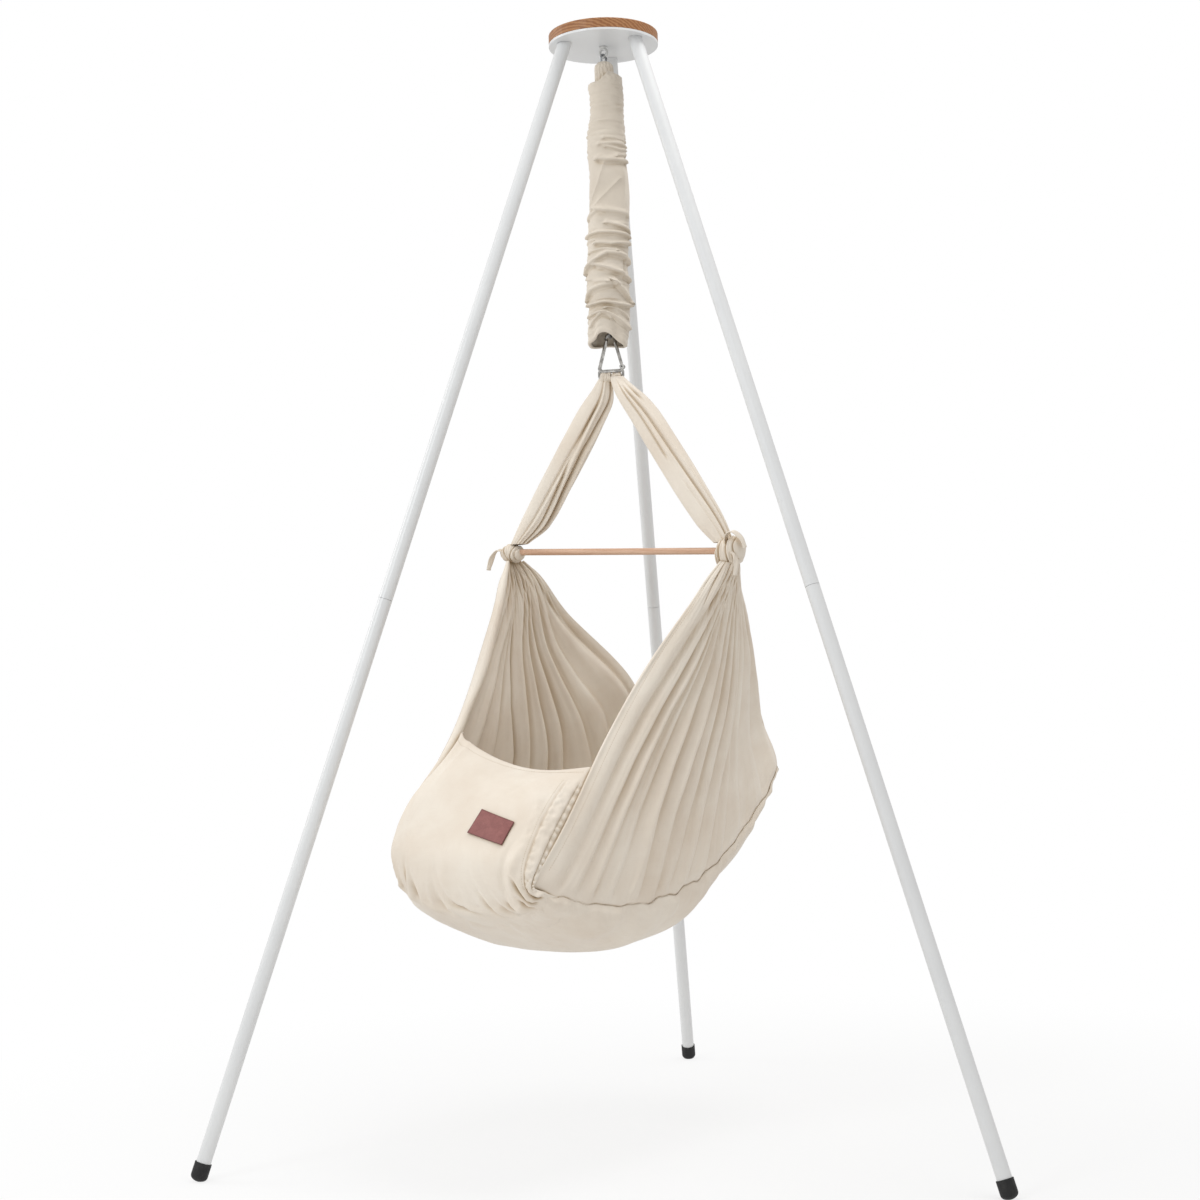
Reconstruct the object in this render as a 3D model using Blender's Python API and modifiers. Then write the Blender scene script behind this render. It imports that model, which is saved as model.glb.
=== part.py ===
"""Baby spring cradle: a cloth cradle hung by a coil spring from a tripod stand.

Metres, +Z up, floor at z = 0. X runs along the spreader bar towards the right-hand leg, and -Y is
the front end of the cradle, where the leather label sits. The origin is the middle of the box
round the stand's three feet, on the floor. Sizes of the hanging parts are counted down from the
plate that they hang from.
"""

import math

import bmesh
import bpy
from mathutils import Matrix, Vector

GAP = 0.0003

# Stand
PLATE_UNDERSIDE = 1.985
PLATE_THICKNESS = 0.004
DISC_RADIUS = 0.1005
DISC_THICKNESS = 0.018
DISC_EDGE_ROUND = 0.002
LEG_TOP_CIRCLE = 0.075
FOOT_CIRCLE = 0.769
LEG_HEADINGS = {"right": 90.0, "front": 210.0, "rear": 330.0}
TUBE_RADIUS = 0.0125
TUBE_WALL = 0.0015
LEG_JOINT_HEIGHT = 0.970
LEG_JOINT_SEAM = 0.0006
SPIGOT_LENGTH = 0.060
COUPLER_LENGTH = 0.140
COUPLER_WALL = 0.0015
CAP_WALL = 0.0016
CAP_SOCKET_DEPTH = 0.022
CAP_SOLE = 0.010
CAP_DOME = 0.0095
FLOOR_FLAT_CUT = 0.0015
ROUND_STEPS = 24

# Eye bolt, and the hanger link that hangs in it
BOLT_RADIUS = 0.004
BOLT_STICK_OUT = 0.0085
NUT_ACROSS_FLATS = 0.013
NUT_HEIGHT = 0.0065
WASHER_RADIUS = 0.009
WASHER_THICKNESS = 0.0016
COUNTERBORE_DEPTH = 0.0095
COLLAR_RADIUS = 0.008
COLLAR_HEIGHT = 0.003
EYE_RADIUS = 0.008
EYE_WIRE = 0.0025
LINK_LENGTH = 0.024
LINK_HALF_WIDTH = 0.007
LINK_WIRE = 0.002

# Spring, wound between two coned ends
COIL_TURNS = 32
CONE_TURNS = 2
COIL_PITCH = 0.00432
COIL_RADIUS = 0.017
COIL_WIRE = 0.0016
COIL_POINTS = 8
SWIVEL_EYE_RADIUS = 0.008
SWIVEL_WIRE = 0.002
TOP_SHANK_LENGTH = 0.026
SWIVEL_HEAD_RADIUS = 0.0088
SWIVEL_HEAD_LAND = 0.002
ROD_HEAD_RADIUS = 0.0055
ROD_HEAD_HEIGHT = 0.003

# Sleeve
SLEEVE_TOP_ABOVE_EYE = 0.0075
SLEEVE_LENGTH = 0.523
SLEEVE_RADIUS_TOP = 0.0325
SLEEVE_RADIUS_HEM = 0.0385
SLEEVE_GATHER = 0.0022
SLEEVE_FRILL_RADIUS = 0.0185
SLEEVE_FRILL_HEIGHT = 0.031
SLEEVE_SIDES = 10
SLEEVE_ROWS = 11
SLEEVE_CLOTH = 0.0016

# Snap hook
SUSPENSION_LENGTH = 0.5335
HOOK_WIRE = 0.0035
HOOK_TOP_RADIUS = 0.0085
HOOK_HEIGHT = 0.067
HOOK_HALF_WIDTH = 0.0215
HOOK_CORNER = 0.006
SLOT_DROP = 0.0115
SLOT_WIRE = 0.0025
GATE_RADIUS = 0.003
GATE_OFFSET = 0.0085
GATE_NOSE_DROP = 0.0165
GATE_PIN_RADIUS = 0.0012
GATE_LUG_RADIUS = 0.0045
GATE_LUG_WIDTH = 0.0095
GATE_TONGUE = 0.0032
HOOK_TURN = 25.0

# Sling straps, knots and spreader bar
STRAP_DROP = 0.319
STRAP_LOOP_CLOTH = 0.0018
STRAP_NECK = 0.0035
STRAP_NECK_HALF_WIDTH = 0.0085
STRAP_NECK_HALF_DEPTH = 0.0018
STRAP_BOW = 0.012
STRAP_HALF_WIDTH = 0.029
STRAP_HALF_DEPTH = 0.021
STRAP_FOLDS = 6
STRAP_FOLD_DEPTH = 0.10
STRAP_RINGS = 8
STRAP_SIDES = 12
BAR_LENGTH = 0.556
BAR_RADIUS = 0.006
KNOT_SPAN = 0.526
KNOT_DROP = 0.015
KNOT_RADII = (0.0165, 0.0185, 0.0175)
KNOT_WRAPS = 2
KNOT_SWELL = 0.05
KNOT_STATIONS = 8
KNOT_SIDES = 12
RIBBON_WIDTH = 0.011
RIBBON_THICKNESS = 0.0015

# Cloth of the cradle, hung from the bar
CLOTH = 0.002
CRADLE_FRONT = 0.420
CRADLE_REAR = 0.270
SEAM_DROP = 0.610
SEAM_LOW_AT = -0.200
SEAM_CURVE = 0.95
HALF_WIDTH_FRONT = 0.162
HALF_WIDTH_REAR = 0.146
HALF_WIDTH_SWELL = 0.040
EDGE_HALF_WIDTH = 0.181
POUCH_DEPTH_FRONT = 0.030
POUCH_DEPTH_REAR = 0.026
POUCH_DEPTH_SWELL = 0.066
POUCH_END_FULLNESS = (0.6, 1.25)
POUCH_SQUARENESS = 2.5
WALL_TOP_BELOW_BAR = 0.0185
WALL_TOP_HALF = 0.012
WALL_FOLDS = 7
WALL_FOLD_DEPTH = 0.007
WALL_BELLY = 0.020
WALL_COLUMNS = 22
WALL_ROWS = 6
FRONT_PANEL_TOP = (0.552, 0.655)
FRONT_PANEL_SAG = 0.040
FRONT_PANEL_BELLY = 0.040
REAR_PANEL_TOP = (0.60, 0.60)
REAR_PANEL_SAG = 0.030
REAR_PANEL_BELLY = 0.022
PANEL_COLUMNS = 10
PANEL_ROWS = 4
SEAM_GAP = 0.0006
POUCH_COLUMNS = 12
POUCH_ROWS = 11
MATTRESS_RIM_STEPS = 2
MATTRESS_INSET = 1.25 * CLOTH
MATTRESS_FRONT = 0.245
MATTRESS_REAR = 0.250
MATTRESS_THIN = 0.020
MATTRESS_THICK = 0.068
MATTRESS_SIDE = 0.014
LABEL_WIDTH = 0.083
LABEL_HEIGHT = 0.047
LABEL_THICKNESS = 0.0015
LABEL_DOWN_PANEL = 0.563
LABEL_ACROSS = 0.305
LABEL_TURN = 12.0


def clear_scene():
    for obj in list(bpy.data.objects):
        bpy.data.objects.remove(obj, do_unlink=True)


def make_collection(name):
    collection = bpy.data.collections.new(name)
    bpy.context.scene.collection.children.link(collection)
    return collection


def make_material(name, colour, roughness, metallic=0.0):
    material = bpy.data.materials.new(name)
    material.use_nodes = True
    shader = material.node_tree.nodes["Principled BSDF"]
    shader.inputs["Base Color"].default_value = (*colour, 1.0)
    shader.inputs["Roughness"].default_value = roughness
    shader.inputs["Metallic"].default_value = metallic
    return material


def make_empty(name, location, parent=None, rotation=(0.0, 0.0, 0.0)):
    empty = bpy.data.objects.new(name, None)
    empty.empty_display_size = 0.05
    empty.location = location
    empty.rotation_euler = rotation
    empty.parent = parent
    parts.objects.link(empty)
    return empty


def add_object(name, mesh, material, parent, collection=None):
    obj = bpy.data.objects.new(name, mesh)
    obj.parent = parent
    if material:
        mesh.materials.append(material)
    (collection or parts).objects.link(obj)
    return obj


def mesh_from(name, shape):
    bmesh.ops.recalc_face_normals(shape, faces=shape.faces)
    mesh = bpy.data.meshes.new(name)
    shape.to_mesh(mesh)
    shape.free()
    return mesh


def smooth(mesh, angle=35.0):
    mesh.shade_smooth()
    mesh.set_sharp_from_angle(angle=math.radians(angle))


def as_cutter(obj):
    obj.hide_render = True
    obj.display_type = "WIRE"
    return obj


def turned(name, profile, material, parent, closed, steps=ROUND_STEPS, cutter=False):
    """A turned piece: a profile of (radius, height) points spun about Z.

    The profile runs down the outer side. A closed one is a ring section, and an open one starts and
    ends on the axis.
    """
    mesh = bpy.data.meshes.new(name)
    edges = [(i, i + 1) for i in range(len(profile) - 1)]
    if closed:
        edges.append((len(profile) - 1, 0))
    mesh.from_pydata([(r, 0.0, z) for r, z in profile], edges, [])
    obj = add_object(name, mesh, material, parent, cutters if cutter else None)
    screw = obj.modifiers.new("Turn", "SCREW")
    screw.axis = "Z"
    screw.steps = steps
    screw.render_steps = steps
    screw.use_merge_vertices = True
    screw.merge_threshold = 0.00001
    screw.use_smooth_shade = True
    if cutter:
        as_cutter(obj)
    return obj


def baked(obj):
    """The object's evaluated mesh as a plain mesh object, its loose caps welded."""
    bpy.context.view_layer.update()
    graph = bpy.context.evaluated_depsgraph_get()
    mesh = bpy.data.meshes.new_from_object(obj.evaluated_get(graph))
    shape = bmesh.new()
    shape.from_mesh(mesh)
    bmesh.ops.remove_doubles(shape, verts=shape.verts, dist=0.00001)
    bmesh.ops.recalc_face_normals(shape, faces=shape.faces)
    shape.to_mesh(mesh)
    shape.free()
    name = obj.name
    material = obj.active_material
    collection = obj.users_collection[0]
    parent = obj.parent
    matrix = obj.matrix_world.copy()
    hidden = obj.hide_render
    bpy.data.objects.remove(obj, do_unlink=True)
    mesh.name = name
    plain = bpy.data.objects.new(name, mesh)
    if material and not mesh.materials:
        mesh.materials.append(material)
    collection.objects.link(plain)
    plain.parent = parent
    plain.matrix_world = matrix
    plain.hide_render = hidden
    return plain


def combine(obj, other, operation):
    """A Boolean of obj with other, which becomes a hidden cutter."""
    as_cutter(other)
    for collection in list(other.users_collection):
        collection.objects.unlink(other)
    cutters.objects.link(other)
    boolean = obj.modifiers.new(operation.title(), "BOOLEAN")
    boolean.operation = operation
    boolean.object = other
    return obj


def wire(name, points, radius, material, parent, resolution=2, cyclic=False):
    """A round wire through the points, with flat ends."""
    curve = bpy.data.curves.new(name, "CURVE")
    curve.dimensions = "3D"
    curve.bevel_depth = radius
    curve.bevel_resolution = resolution
    curve.use_fill_caps = not cyclic
    spline = curve.splines.new("POLY")
    spline.points.add(len(points) - 1)
    for target, point in zip(spline.points, points):
        target.co = (*point, 1.0)
    spline.use_cyclic_u = cyclic
    spline.use_smooth = True
    obj = bpy.data.objects.new(name, curve)
    obj.parent = parent
    if material:
        curve.materials.append(material)
    parts.objects.link(obj)
    return obj


def ring(name, radius, wire_radius, material, parent, location, turn, steps=20):
    """A torus whose plane is upright, turned about Z."""
    bpy.ops.mesh.primitive_torus_add(
        major_radius=radius,
        minor_radius=wire_radius,
        major_segments=steps,
        minor_segments=8,
    )
    obj = bpy.context.active_object
    obj.name = name
    for collection in list(obj.users_collection):
        collection.objects.unlink(obj)
    parts.objects.link(obj)
    obj.data.materials.append(material)
    obj.data.shade_smooth()
    obj.parent = parent
    obj.location = location
    obj.rotation_euler = (math.radians(90.0), 0.0, math.radians(turn))
    return obj


def lofted(name, rings, material, parent):
    """A closed body through rings of points with as many points each, its ends filled."""
    shape = bmesh.new()
    rows = [[shape.verts.new(point) for point in row] for row in rings]
    for upper, lower in zip(rows, rows[1:]):
        for i in range(len(upper)):
            j = (i + 1) % len(upper)
            shape.faces.new((upper[i], upper[j], lower[j], lower[i]))
    shape.faces.new(rows[0])
    shape.faces.new(list(reversed(rows[-1])))
    mesh = mesh_from(name, shape)
    smooth(mesh, 60.0)
    return add_object(name, mesh, material, parent)


def cloth_sheet(name, rows, thickness, material, parent, offset=0.0):
    """A sheet of cloth through a grid of points, given its thickness."""
    shape = bmesh.new()
    grid = [[shape.verts.new(point) for point in row] for row in rows]
    for upper, lower in zip(grid, grid[1:]):
        for i in range(len(upper) - 1):
            shape.faces.new((upper[i], upper[i + 1], lower[i + 1], lower[i]))
    mesh = mesh_from(name, shape)
    mesh.shade_smooth()
    obj = add_object(name, mesh, material, parent)
    solid = obj.modifiers.new("Cloth", "SOLIDIFY")
    solid.thickness = thickness
    solid.offset = offset
    solid.use_even_offset = False
    return obj


def mix(a, b, share):
    return a + (b - a) * share


# Stand


def leg_line(heading):
    """The top and the foot of a leg's centre line, from the stand's own axis."""
    angle = math.radians(heading)
    outward = Vector((math.sin(angle), math.cos(angle), 0.0))
    top = outward * LEG_TOP_CIRCLE + Vector((0.0, 0.0, PLATE_UNDERSIDE))
    foot = outward * FOOT_CIRCLE
    return top, foot


def leg_tilt():
    return math.atan2(FOOT_CIRCLE - LEG_TOP_CIRCLE, PLATE_UNDERSIDE)


def leg_frame(name, heading, stand):
    """An empty at the leg's foot, its Z axis running up the leg."""
    top, foot = leg_line(heading)
    turn = (top - foot).to_track_quat("Z", "Y").to_euler()
    return make_empty(f"leg_{name}_line", foot, stand, turn)


def leg_length():
    top, foot = leg_line(0.0)
    return (top - foot).length


def along_leg(height):
    """How far up the leg's line a height above the floor lies."""
    return height / math.cos(leg_tilt())


def tube_section(name, low, high, outer, wall, material, frame):
    inner = outer - wall
    profile = [(outer, high), (outer, low), (inner, low), (inner, high)]
    return turned(name, profile, material, frame, closed=True)


def box_cutter(name, size, centre, parent):
    shape = bmesh.new()
    bmesh.ops.create_cube(shape, size=1.0)
    bmesh.ops.scale(shape, vec=Vector(size), verts=shape.verts)
    obj = add_object(name, mesh_from(name, shape), None, parent, cutters)
    obj.location = centre
    return as_cutter(obj)


def make_leg(name, heading, stand):
    frame = leg_frame(name, heading, stand)
    bore = TUBE_RADIUS - TUBE_WALL
    joint = along_leg(LEG_JOINT_HEIGHT)
    run_past = 2.0 * TUBE_RADIUS
    upper = tube_section(
        f"upper_leg_{name}", joint + LEG_JOINT_SEAM / 2, leg_length() + run_past,
        TUBE_RADIUS, TUBE_WALL, white_steel, frame,
    )
    top, _ = leg_line(heading)
    mitre_block = 0.08
    mitre = box_cutter(
        f"mitre_{name}",
        (mitre_block, mitre_block, mitre_block),
        top + Vector((0.0, 0.0, mitre_block / 2 - GAP)),
        stand,
    )
    cut = upper.modifiers.new("Mitre", "BOOLEAN")
    cut.operation = "DIFFERENCE"
    cut.object = mitre
    tube_section(
        f"lower_leg_{name}", CAP_SOLE + GAP, joint - LEG_JOINT_SEAM / 2,
        TUBE_RADIUS, TUBE_WALL, white_steel, frame,
    )
    tube_section(
        f"leg_coupler_{name}", joint - COUPLER_LENGTH / 2, joint + COUPLER_LENGTH / 2,
        bore - GAP, COUPLER_WALL, bare_steel, frame,
    )
    make_foot_cap(name, frame, stand)


def make_foot_cap(name, frame, stand):
    """A rubber cup round the tube's end, domed below and worn flat where it meets the floor."""
    inner = TUBE_RADIUS + GAP
    outer = inner + CAP_WALL
    mouth = CAP_SOLE + CAP_SOCKET_DEPTH
    lip = CAP_WALL / 3
    profile = [(0.0, CAP_SOLE), (inner, CAP_SOLE), (inner, mouth), (outer - lip, mouth)]
    profile += [(outer, mouth - lip), (outer, CAP_DOME)]
    dome_steps = 6
    for i in range(1, dome_steps):
        angle = math.pi / 2 * i / dome_steps
        profile.append((outer * math.cos(angle), CAP_DOME * (1 - math.sin(angle))))
    profile.append((0.0, 0.0))
    cap = turned(f"foot_cap_{name}", list(reversed(profile)), black_rubber, frame, closed=False)
    cap.modifiers["Turn"].use_normal_flip = True
    tilt = leg_tilt()
    lowest = math.hypot(outer * math.sin(tilt), CAP_DOME * math.cos(tilt))
    cap.location = (0.0, 0.0, (lowest - FLOOR_FLAT_CUT) / math.cos(tilt) - CAP_DOME)
    block = 0.1
    _, foot = leg_line(LEG_HEADINGS[name])
    floor = box_cutter(
        f"floor_{name}", (block, block, block), foot - Vector((0.0, 0.0, block / 2)), stand
    )
    cut = cap.modifiers.new("Floor flat", "BOOLEAN")
    cut.operation = "DIFFERENCE"
    cut.object = floor


def make_top(stand):
    hole = BOLT_RADIUS + GAP
    plate_profile = [
        (DISC_RADIUS, PLATE_UNDERSIDE + PLATE_THICKNESS),
        (DISC_RADIUS, PLATE_UNDERSIDE),
        (hole, PLATE_UNDERSIDE),
        (hole, PLATE_UNDERSIDE + PLATE_THICKNESS),
    ]
    plate = turned("top_plate", plate_profile, white_steel, stand, closed=True, steps=48)
    spigot_radius = TUBE_RADIUS - TUBE_WALL - GAP
    tilt = leg_tilt()
    sink = (0.9 * PLATE_THICKNESS - spigot_radius * math.sin(tilt)) / math.cos(tilt)
    for name, heading in LEG_HEADINGS.items():
        top, foot = leg_line(heading)
        profile = [
            (0.0, leg_length() + sink),
            (spigot_radius, leg_length() + sink),
            (spigot_radius, leg_length() - SPIGOT_LENGTH + 0.002),
            (spigot_radius - 0.002, leg_length() - SPIGOT_LENGTH),
            (0.0, leg_length() - SPIGOT_LENGTH),
        ]
        spigot = turned(f"spigot_{name}", profile, None, stand, closed=False, cutter=True)
        spigot.location = foot
        spigot.rotation_euler = (top - foot).to_track_quat("Z", "Y").to_euler()
        combine(plate, spigot, "UNION")

    low = PLATE_UNDERSIDE + PLATE_THICKNESS + GAP
    high = low + DISC_THICKNESS
    bore = WASHER_RADIUS + 0.002
    floor = high - COUNTERBORE_DEPTH
    edge = DISC_EDGE_ROUND
    profile = [(bore, high), (DISC_RADIUS - edge, high)]
    for i in range(1, 4):
        angle = math.radians(30.0 * i)
        profile.append((DISC_RADIUS - edge + edge * math.sin(angle), high - edge + edge * math.cos(angle)))
    profile += [(DISC_RADIUS, low), (hole, low), (hole, floor), (bore, floor)]
    turned("wood_disc", profile, oiled_wood, stand, closed=True, steps=48)
    return floor


def make_eye_bolt(stand, seat):
    """The eye bolt, its washer and nut, with the ring's plane along X."""
    ring_centre = PLATE_UNDERSIDE - COLLAR_HEIGHT - EYE_RADIUS - GAP
    shank_top = seat + BOLT_STICK_OUT
    collar_top = PLATE_UNDERSIDE - GAP
    collar_low = collar_top - COLLAR_HEIGHT
    profile = [
        (0.0, shank_top),
        (BOLT_RADIUS - 0.0008, shank_top),
        (BOLT_RADIUS, shank_top - 0.0008),
        (BOLT_RADIUS, collar_top),
        (COLLAR_RADIUS, collar_top),
        (COLLAR_RADIUS, collar_low + 0.001),
        (COLLAR_RADIUS - 0.002, collar_low - 0.001),
        (0.0, collar_low - 0.001),
    ]
    bolt = turned("eye_bolt", profile, zinc, stand, closed=False)
    eye = ring("eye_ring", EYE_RADIUS, EYE_WIRE, zinc, stand, (0.0, 0.0, ring_centre), 0.0)
    combine(bolt, eye, "UNION")
    washer_low = seat + GAP
    hole = BOLT_RADIUS + GAP
    washer = [
        (WASHER_RADIUS, washer_low + WASHER_THICKNESS),
        (WASHER_RADIUS, washer_low),
        (hole, washer_low),
        (hole, washer_low + WASHER_THICKNESS),
    ]
    turned("eye_bolt_washer", washer, zinc, stand, closed=True)
    nut_low = washer_low + WASHER_THICKNESS + GAP
    shape = bmesh.new()
    corner = NUT_ACROSS_FLATS / 2 / math.cos(math.radians(30.0))
    bmesh.ops.create_cone(
        shape, cap_ends=True, segments=6, radius1=corner, radius2=corner, depth=NUT_HEIGHT
    )
    nut = add_object("eye_bolt_nut", mesh_from("eye_bolt_nut", shape), zinc, stand)
    nut.location = (0.0, 0.0, nut_low + NUT_HEIGHT / 2)
    bevel = nut.modifiers.new("Chamfer", "BEVEL")
    bevel.width = 0.0005
    bevel.segments = 1
    bore = [(0.0, NUT_HEIGHT), (hole, NUT_HEIGHT), (hole, -NUT_HEIGHT), (0.0, -NUT_HEIGHT)]
    bore_cutter = turned("nut_bore", bore, None, nut, closed=False, cutter=True)
    combine(nut, bore_cutter, "DIFFERENCE")
    return ring_centre - EYE_RADIUS


def make_stand():
    stand = make_empty("stand", (0.0, 0.0, 0.0))
    seat = make_top(stand)
    for name, heading in LEG_HEADINGS.items():
        make_leg(name, heading, stand)
    fore_pivot = make_eye_bolt(stand, seat)
    return stand, fore_pivot


# Suspension


def racetrack(half_width, half_length, steps):
    """Points of a long link's centre line in the YZ plane, about its middle."""
    points = []
    straight = half_length - half_width
    for end in (1, -1):
        for i in range(steps + 1):
            angle = math.pi * i / steps
            y = half_width * math.cos(angle) * end
            z = (straight + half_width * math.sin(angle)) * end
            points.append((0.0, y, z))
    return points


def make_hanger_link(fore_pivot, parent):
    """A long link whose top bears on the eye's wire. Its plane stands across the bar."""
    top = fore_pivot + EYE_WIRE + GAP + LINK_WIRE
    points = racetrack(LINK_HALF_WIDTH, LINK_LENGTH / 2, 8)
    link = wire("hanger_link", points, LINK_WIRE, dark_steel, parent, cyclic=True)
    link.location = (0.0, 0.0, top - LINK_LENGTH / 2 - fore_pivot)
    return top - LINK_LENGTH


def coil_radius(turn):
    """The coil's radius at a turn counted from either end's tip."""
    tip = SWIVEL_WIRE + COIL_WIRE + GAP
    return mix(tip, COIL_RADIUS, min(1.0, turn / CONE_TURNS))


def head_radius_below(tip_distance):
    """The radius that fits inside the coned end, this far in from its tip."""
    cone_length = CONE_TURNS * COIL_PITCH
    tip = SWIVEL_WIRE + COIL_WIRE + GAP
    slope = (COIL_RADIUS - tip) / cone_length
    centre = tip + slope * tip_distance
    flat = math.cos(math.pi / COIL_POINTS)
    return centre * flat - (COIL_WIRE + GAP) * math.hypot(1.0, slope)


def coil_points(top):
    total = COIL_TURNS + 2 * CONE_TURNS
    count = int(total * COIL_POINTS)
    points = []
    for i in range(count + 1):
        turn = i / COIL_POINTS
        radius = coil_radius(min(turn, total - turn))
        angle = 2 * math.pi * turn
        points.append(
            Vector((radius * math.cos(angle), radius * math.sin(angle), top - COIL_PITCH * turn))
        )
    return points


def least_gap(points, wire_radius, neighbours):
    """The least gap of a wound wire to itself, measured between points over half a turn apart."""
    least = math.inf
    for i, point in enumerate(points):
        for other in points[i + neighbours : i + 3 * neighbours]:
            least = min(least, (other - point).length)
    return least - 2 * wire_radius


def swivel_head(tip, direction):
    """A cone head's profile inside a coned coil end. It points from the tip along direction."""
    start = COIL_PITCH * CONE_TURNS
    while head_radius_below(start) > SWIVEL_HEAD_RADIUS:
        start -= COIL_PITCH / 20
    begin = start
    while head_radius_below(begin) > SWIVEL_WIRE + 0.0006:
        begin -= COIL_PITCH / 20
    return [
        (head_radius_below(begin), tip + direction * begin),
        (head_radius_below(start), tip + direction * start),
        (head_radius_below(start), tip + direction * (start + SWIVEL_HEAD_LAND)),
    ]


def make_top_eye(parent):
    """The swivel eye that hangs in the link, its cone head caught in the coil's coned end."""
    eye_top = LINK_WIRE + GAP + SWIVEL_WIRE
    centre = eye_top - SWIVEL_EYE_RADIUS
    shank_top = centre - SWIVEL_EYE_RADIUS
    tip = shank_top - TOP_SHANK_LENGTH
    head = swivel_head(tip, -1.0)
    profile = [(0.0, shank_top), (SWIVEL_WIRE, shank_top)] + head
    profile.insert(2, (SWIVEL_WIRE, head[0][1]))
    profile.append((0.0, head[-1][1]))
    eye = turned("spring_top_eye", profile, bare_steel, parent, closed=False, steps=16)
    loop = ring(
        "top_eye_loop", SWIVEL_EYE_RADIUS, SWIVEL_WIRE, bare_steel, parent, (0.0, 0.0, centre), 0.0
    )
    combine(eye, loop, "UNION")
    return centre, tip


def make_coil(tip, parent):
    points = coil_points(tip)
    wire("spring_coil", points, COIL_WIRE, bare_steel, parent, resolution=1)
    gap = least_gap(points, COIL_WIRE, COIL_POINTS // 2 + 2)
    print(f"least gap of the coil to itself: {gap * 1000:.2f} mm")
    return points[-1].z


def make_swivel_bush(tip, parent):
    """The bush in the coil's lower coned end, bored for the rod."""
    head = swivel_head(tip, 1.0)
    bore = SWIVEL_WIRE + GAP
    profile = [
        (bore, head[2][1]),
        (head[2][0], head[2][1]),
        (head[1][0], head[1][1]),
        (max(head[0][0], bore + 0.0008), head[0][1]),
        (bore, head[0][1]),
    ]
    turned("swivel_bush", profile, brass, parent, closed=True, steps=16)
    return head[2][1]


def make_swivel_rod(bush_top, hook_top, parent):
    """The rod that turns in the bush, with the eye that carries the snap hook."""
    low = hook_top - HOOK_WIRE - GAP - SWIVEL_WIRE
    centre = low + SWIVEL_EYE_RADIUS
    shank_low = centre + SWIVEL_EYE_RADIUS
    head_low = bush_top + GAP
    profile = [
        (0.0, head_low + ROD_HEAD_HEIGHT),
        (ROD_HEAD_RADIUS - 0.001, head_low + ROD_HEAD_HEIGHT),
        (ROD_HEAD_RADIUS, head_low + ROD_HEAD_HEIGHT - 0.001),
        (ROD_HEAD_RADIUS, head_low),
        (SWIVEL_WIRE, head_low),
        (SWIVEL_WIRE, shank_low),
        (0.0, shank_low),
    ]
    rod = turned("swivel_rod", profile, bare_steel, parent, closed=False, steps=16)
    loop = ring(
        "rod_loop", SWIVEL_EYE_RADIUS, SWIVEL_WIRE, bare_steel, parent,
        (0.0, 0.0, centre), HOOK_TURN + 90.0,
    )
    combine(rod, loop, "UNION")


def sleeve_outline(eye_down):
    """(radius, distance down) of the sleeve's cloth: neck, frill, gathered body and rolled hem."""
    neck = SWIVEL_EYE_RADIUS + SWIVEL_WIRE + GAP + SLEEVE_CLOTH / 2
    frill = SLEEVE_FRILL_RADIUS
    outline = [(neck, eye_down), (mix(neck, frill, 0.7), 0.002), (frill, 0.0)]
    outline += [(frill + 0.002, 0.004), (frill + 0.003, SLEEVE_FRILL_HEIGHT - 0.004)]
    outline.append((SLEEVE_RADIUS_TOP - 0.004, SLEEVE_FRILL_HEIGHT))
    start = SLEEVE_FRILL_HEIGHT + 0.005
    end = SLEEVE_LENGTH - 0.024
    for i in range(SLEEVE_ROWS + 1):
        share = i / SLEEVE_ROWS
        radius = mix(SLEEVE_RADIUS_TOP, SLEEVE_RADIUS_HEM, share)
        radius += SLEEVE_GATHER * (1 if i % 2 else -1) * (0.6 + 0.4 * math.cos(9.0 * share))
        outline.append((radius, mix(start, end, share)))
    hem = SLEEVE_RADIUS_HEM
    outline += [(hem + 0.001, SLEEVE_LENGTH - 0.016), (hem, SLEEVE_LENGTH - 0.002)]
    outline.append((hem - 0.006, SLEEVE_LENGTH))
    return outline


def make_sleeve(eye_centre, parent):
    """The gathered tube of cotton round the spring, its folds leaning round the tube."""
    top = SLEEVE_TOP_ABOVE_EYE
    rows = []
    for radius, down in sleeve_outline(top - eye_centre):
        row = []
        lean = min(1.0, max(0.0, (radius - SLEEVE_FRILL_RADIUS) / SLEEVE_FRILL_RADIUS))
        for i in range(SLEEVE_SIDES):
            angle = 2 * math.pi * i / SLEEVE_SIDES
            swell = 1.0 + 0.03 * lean * math.sin(2 * angle + 21.0 * down)
            drop = 0.004 * lean * math.sin(angle + 15.0 * down)
            row.append(
                (radius * swell * math.cos(angle), radius * swell * math.sin(angle), top - down - drop)
            )
        row.append(row[0])
        rows.append(row)
    sleeve = cloth_sheet("spring_sleeve", rows, SLEEVE_CLOTH, cream_cotton, parent)
    weld = sleeve.modifiers.new("Close", "WELD")
    weld.merge_threshold = 0.00001
    sleeve.modifiers.move(1, 0)
    return sleeve


def hook_path():
    """The snap hook's centre line, from its nose over the top to the gate's hinge."""
    radius = HOOK_TOP_RADIUS
    nose = Vector((GATE_OFFSET + 0.0008, 0.0, -GATE_NOSE_DROP + 0.0006))
    points = [nose]
    for i in range(9):
        angle = math.radians(mix(-8.0, 200.0, i / 8))
        points.append(Vector((radius * math.cos(angle), 0.0, radius * math.sin(angle) - radius)))
    low = -HOOK_HEIGHT
    for side, start in ((-1, 180.0), (1, 270.0)):
        centre = Vector((side * (HOOK_HALF_WIDTH - HOOK_CORNER), 0.0, low + HOOK_CORNER))
        for i in range(4):
            angle = math.radians(start + 90.0 * i / 3)
            points.append(
                centre + Vector((math.cos(angle), 0.0, math.sin(angle))) * HOOK_CORNER
            )
    return points[:-1] + [gate_hinge()]


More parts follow.
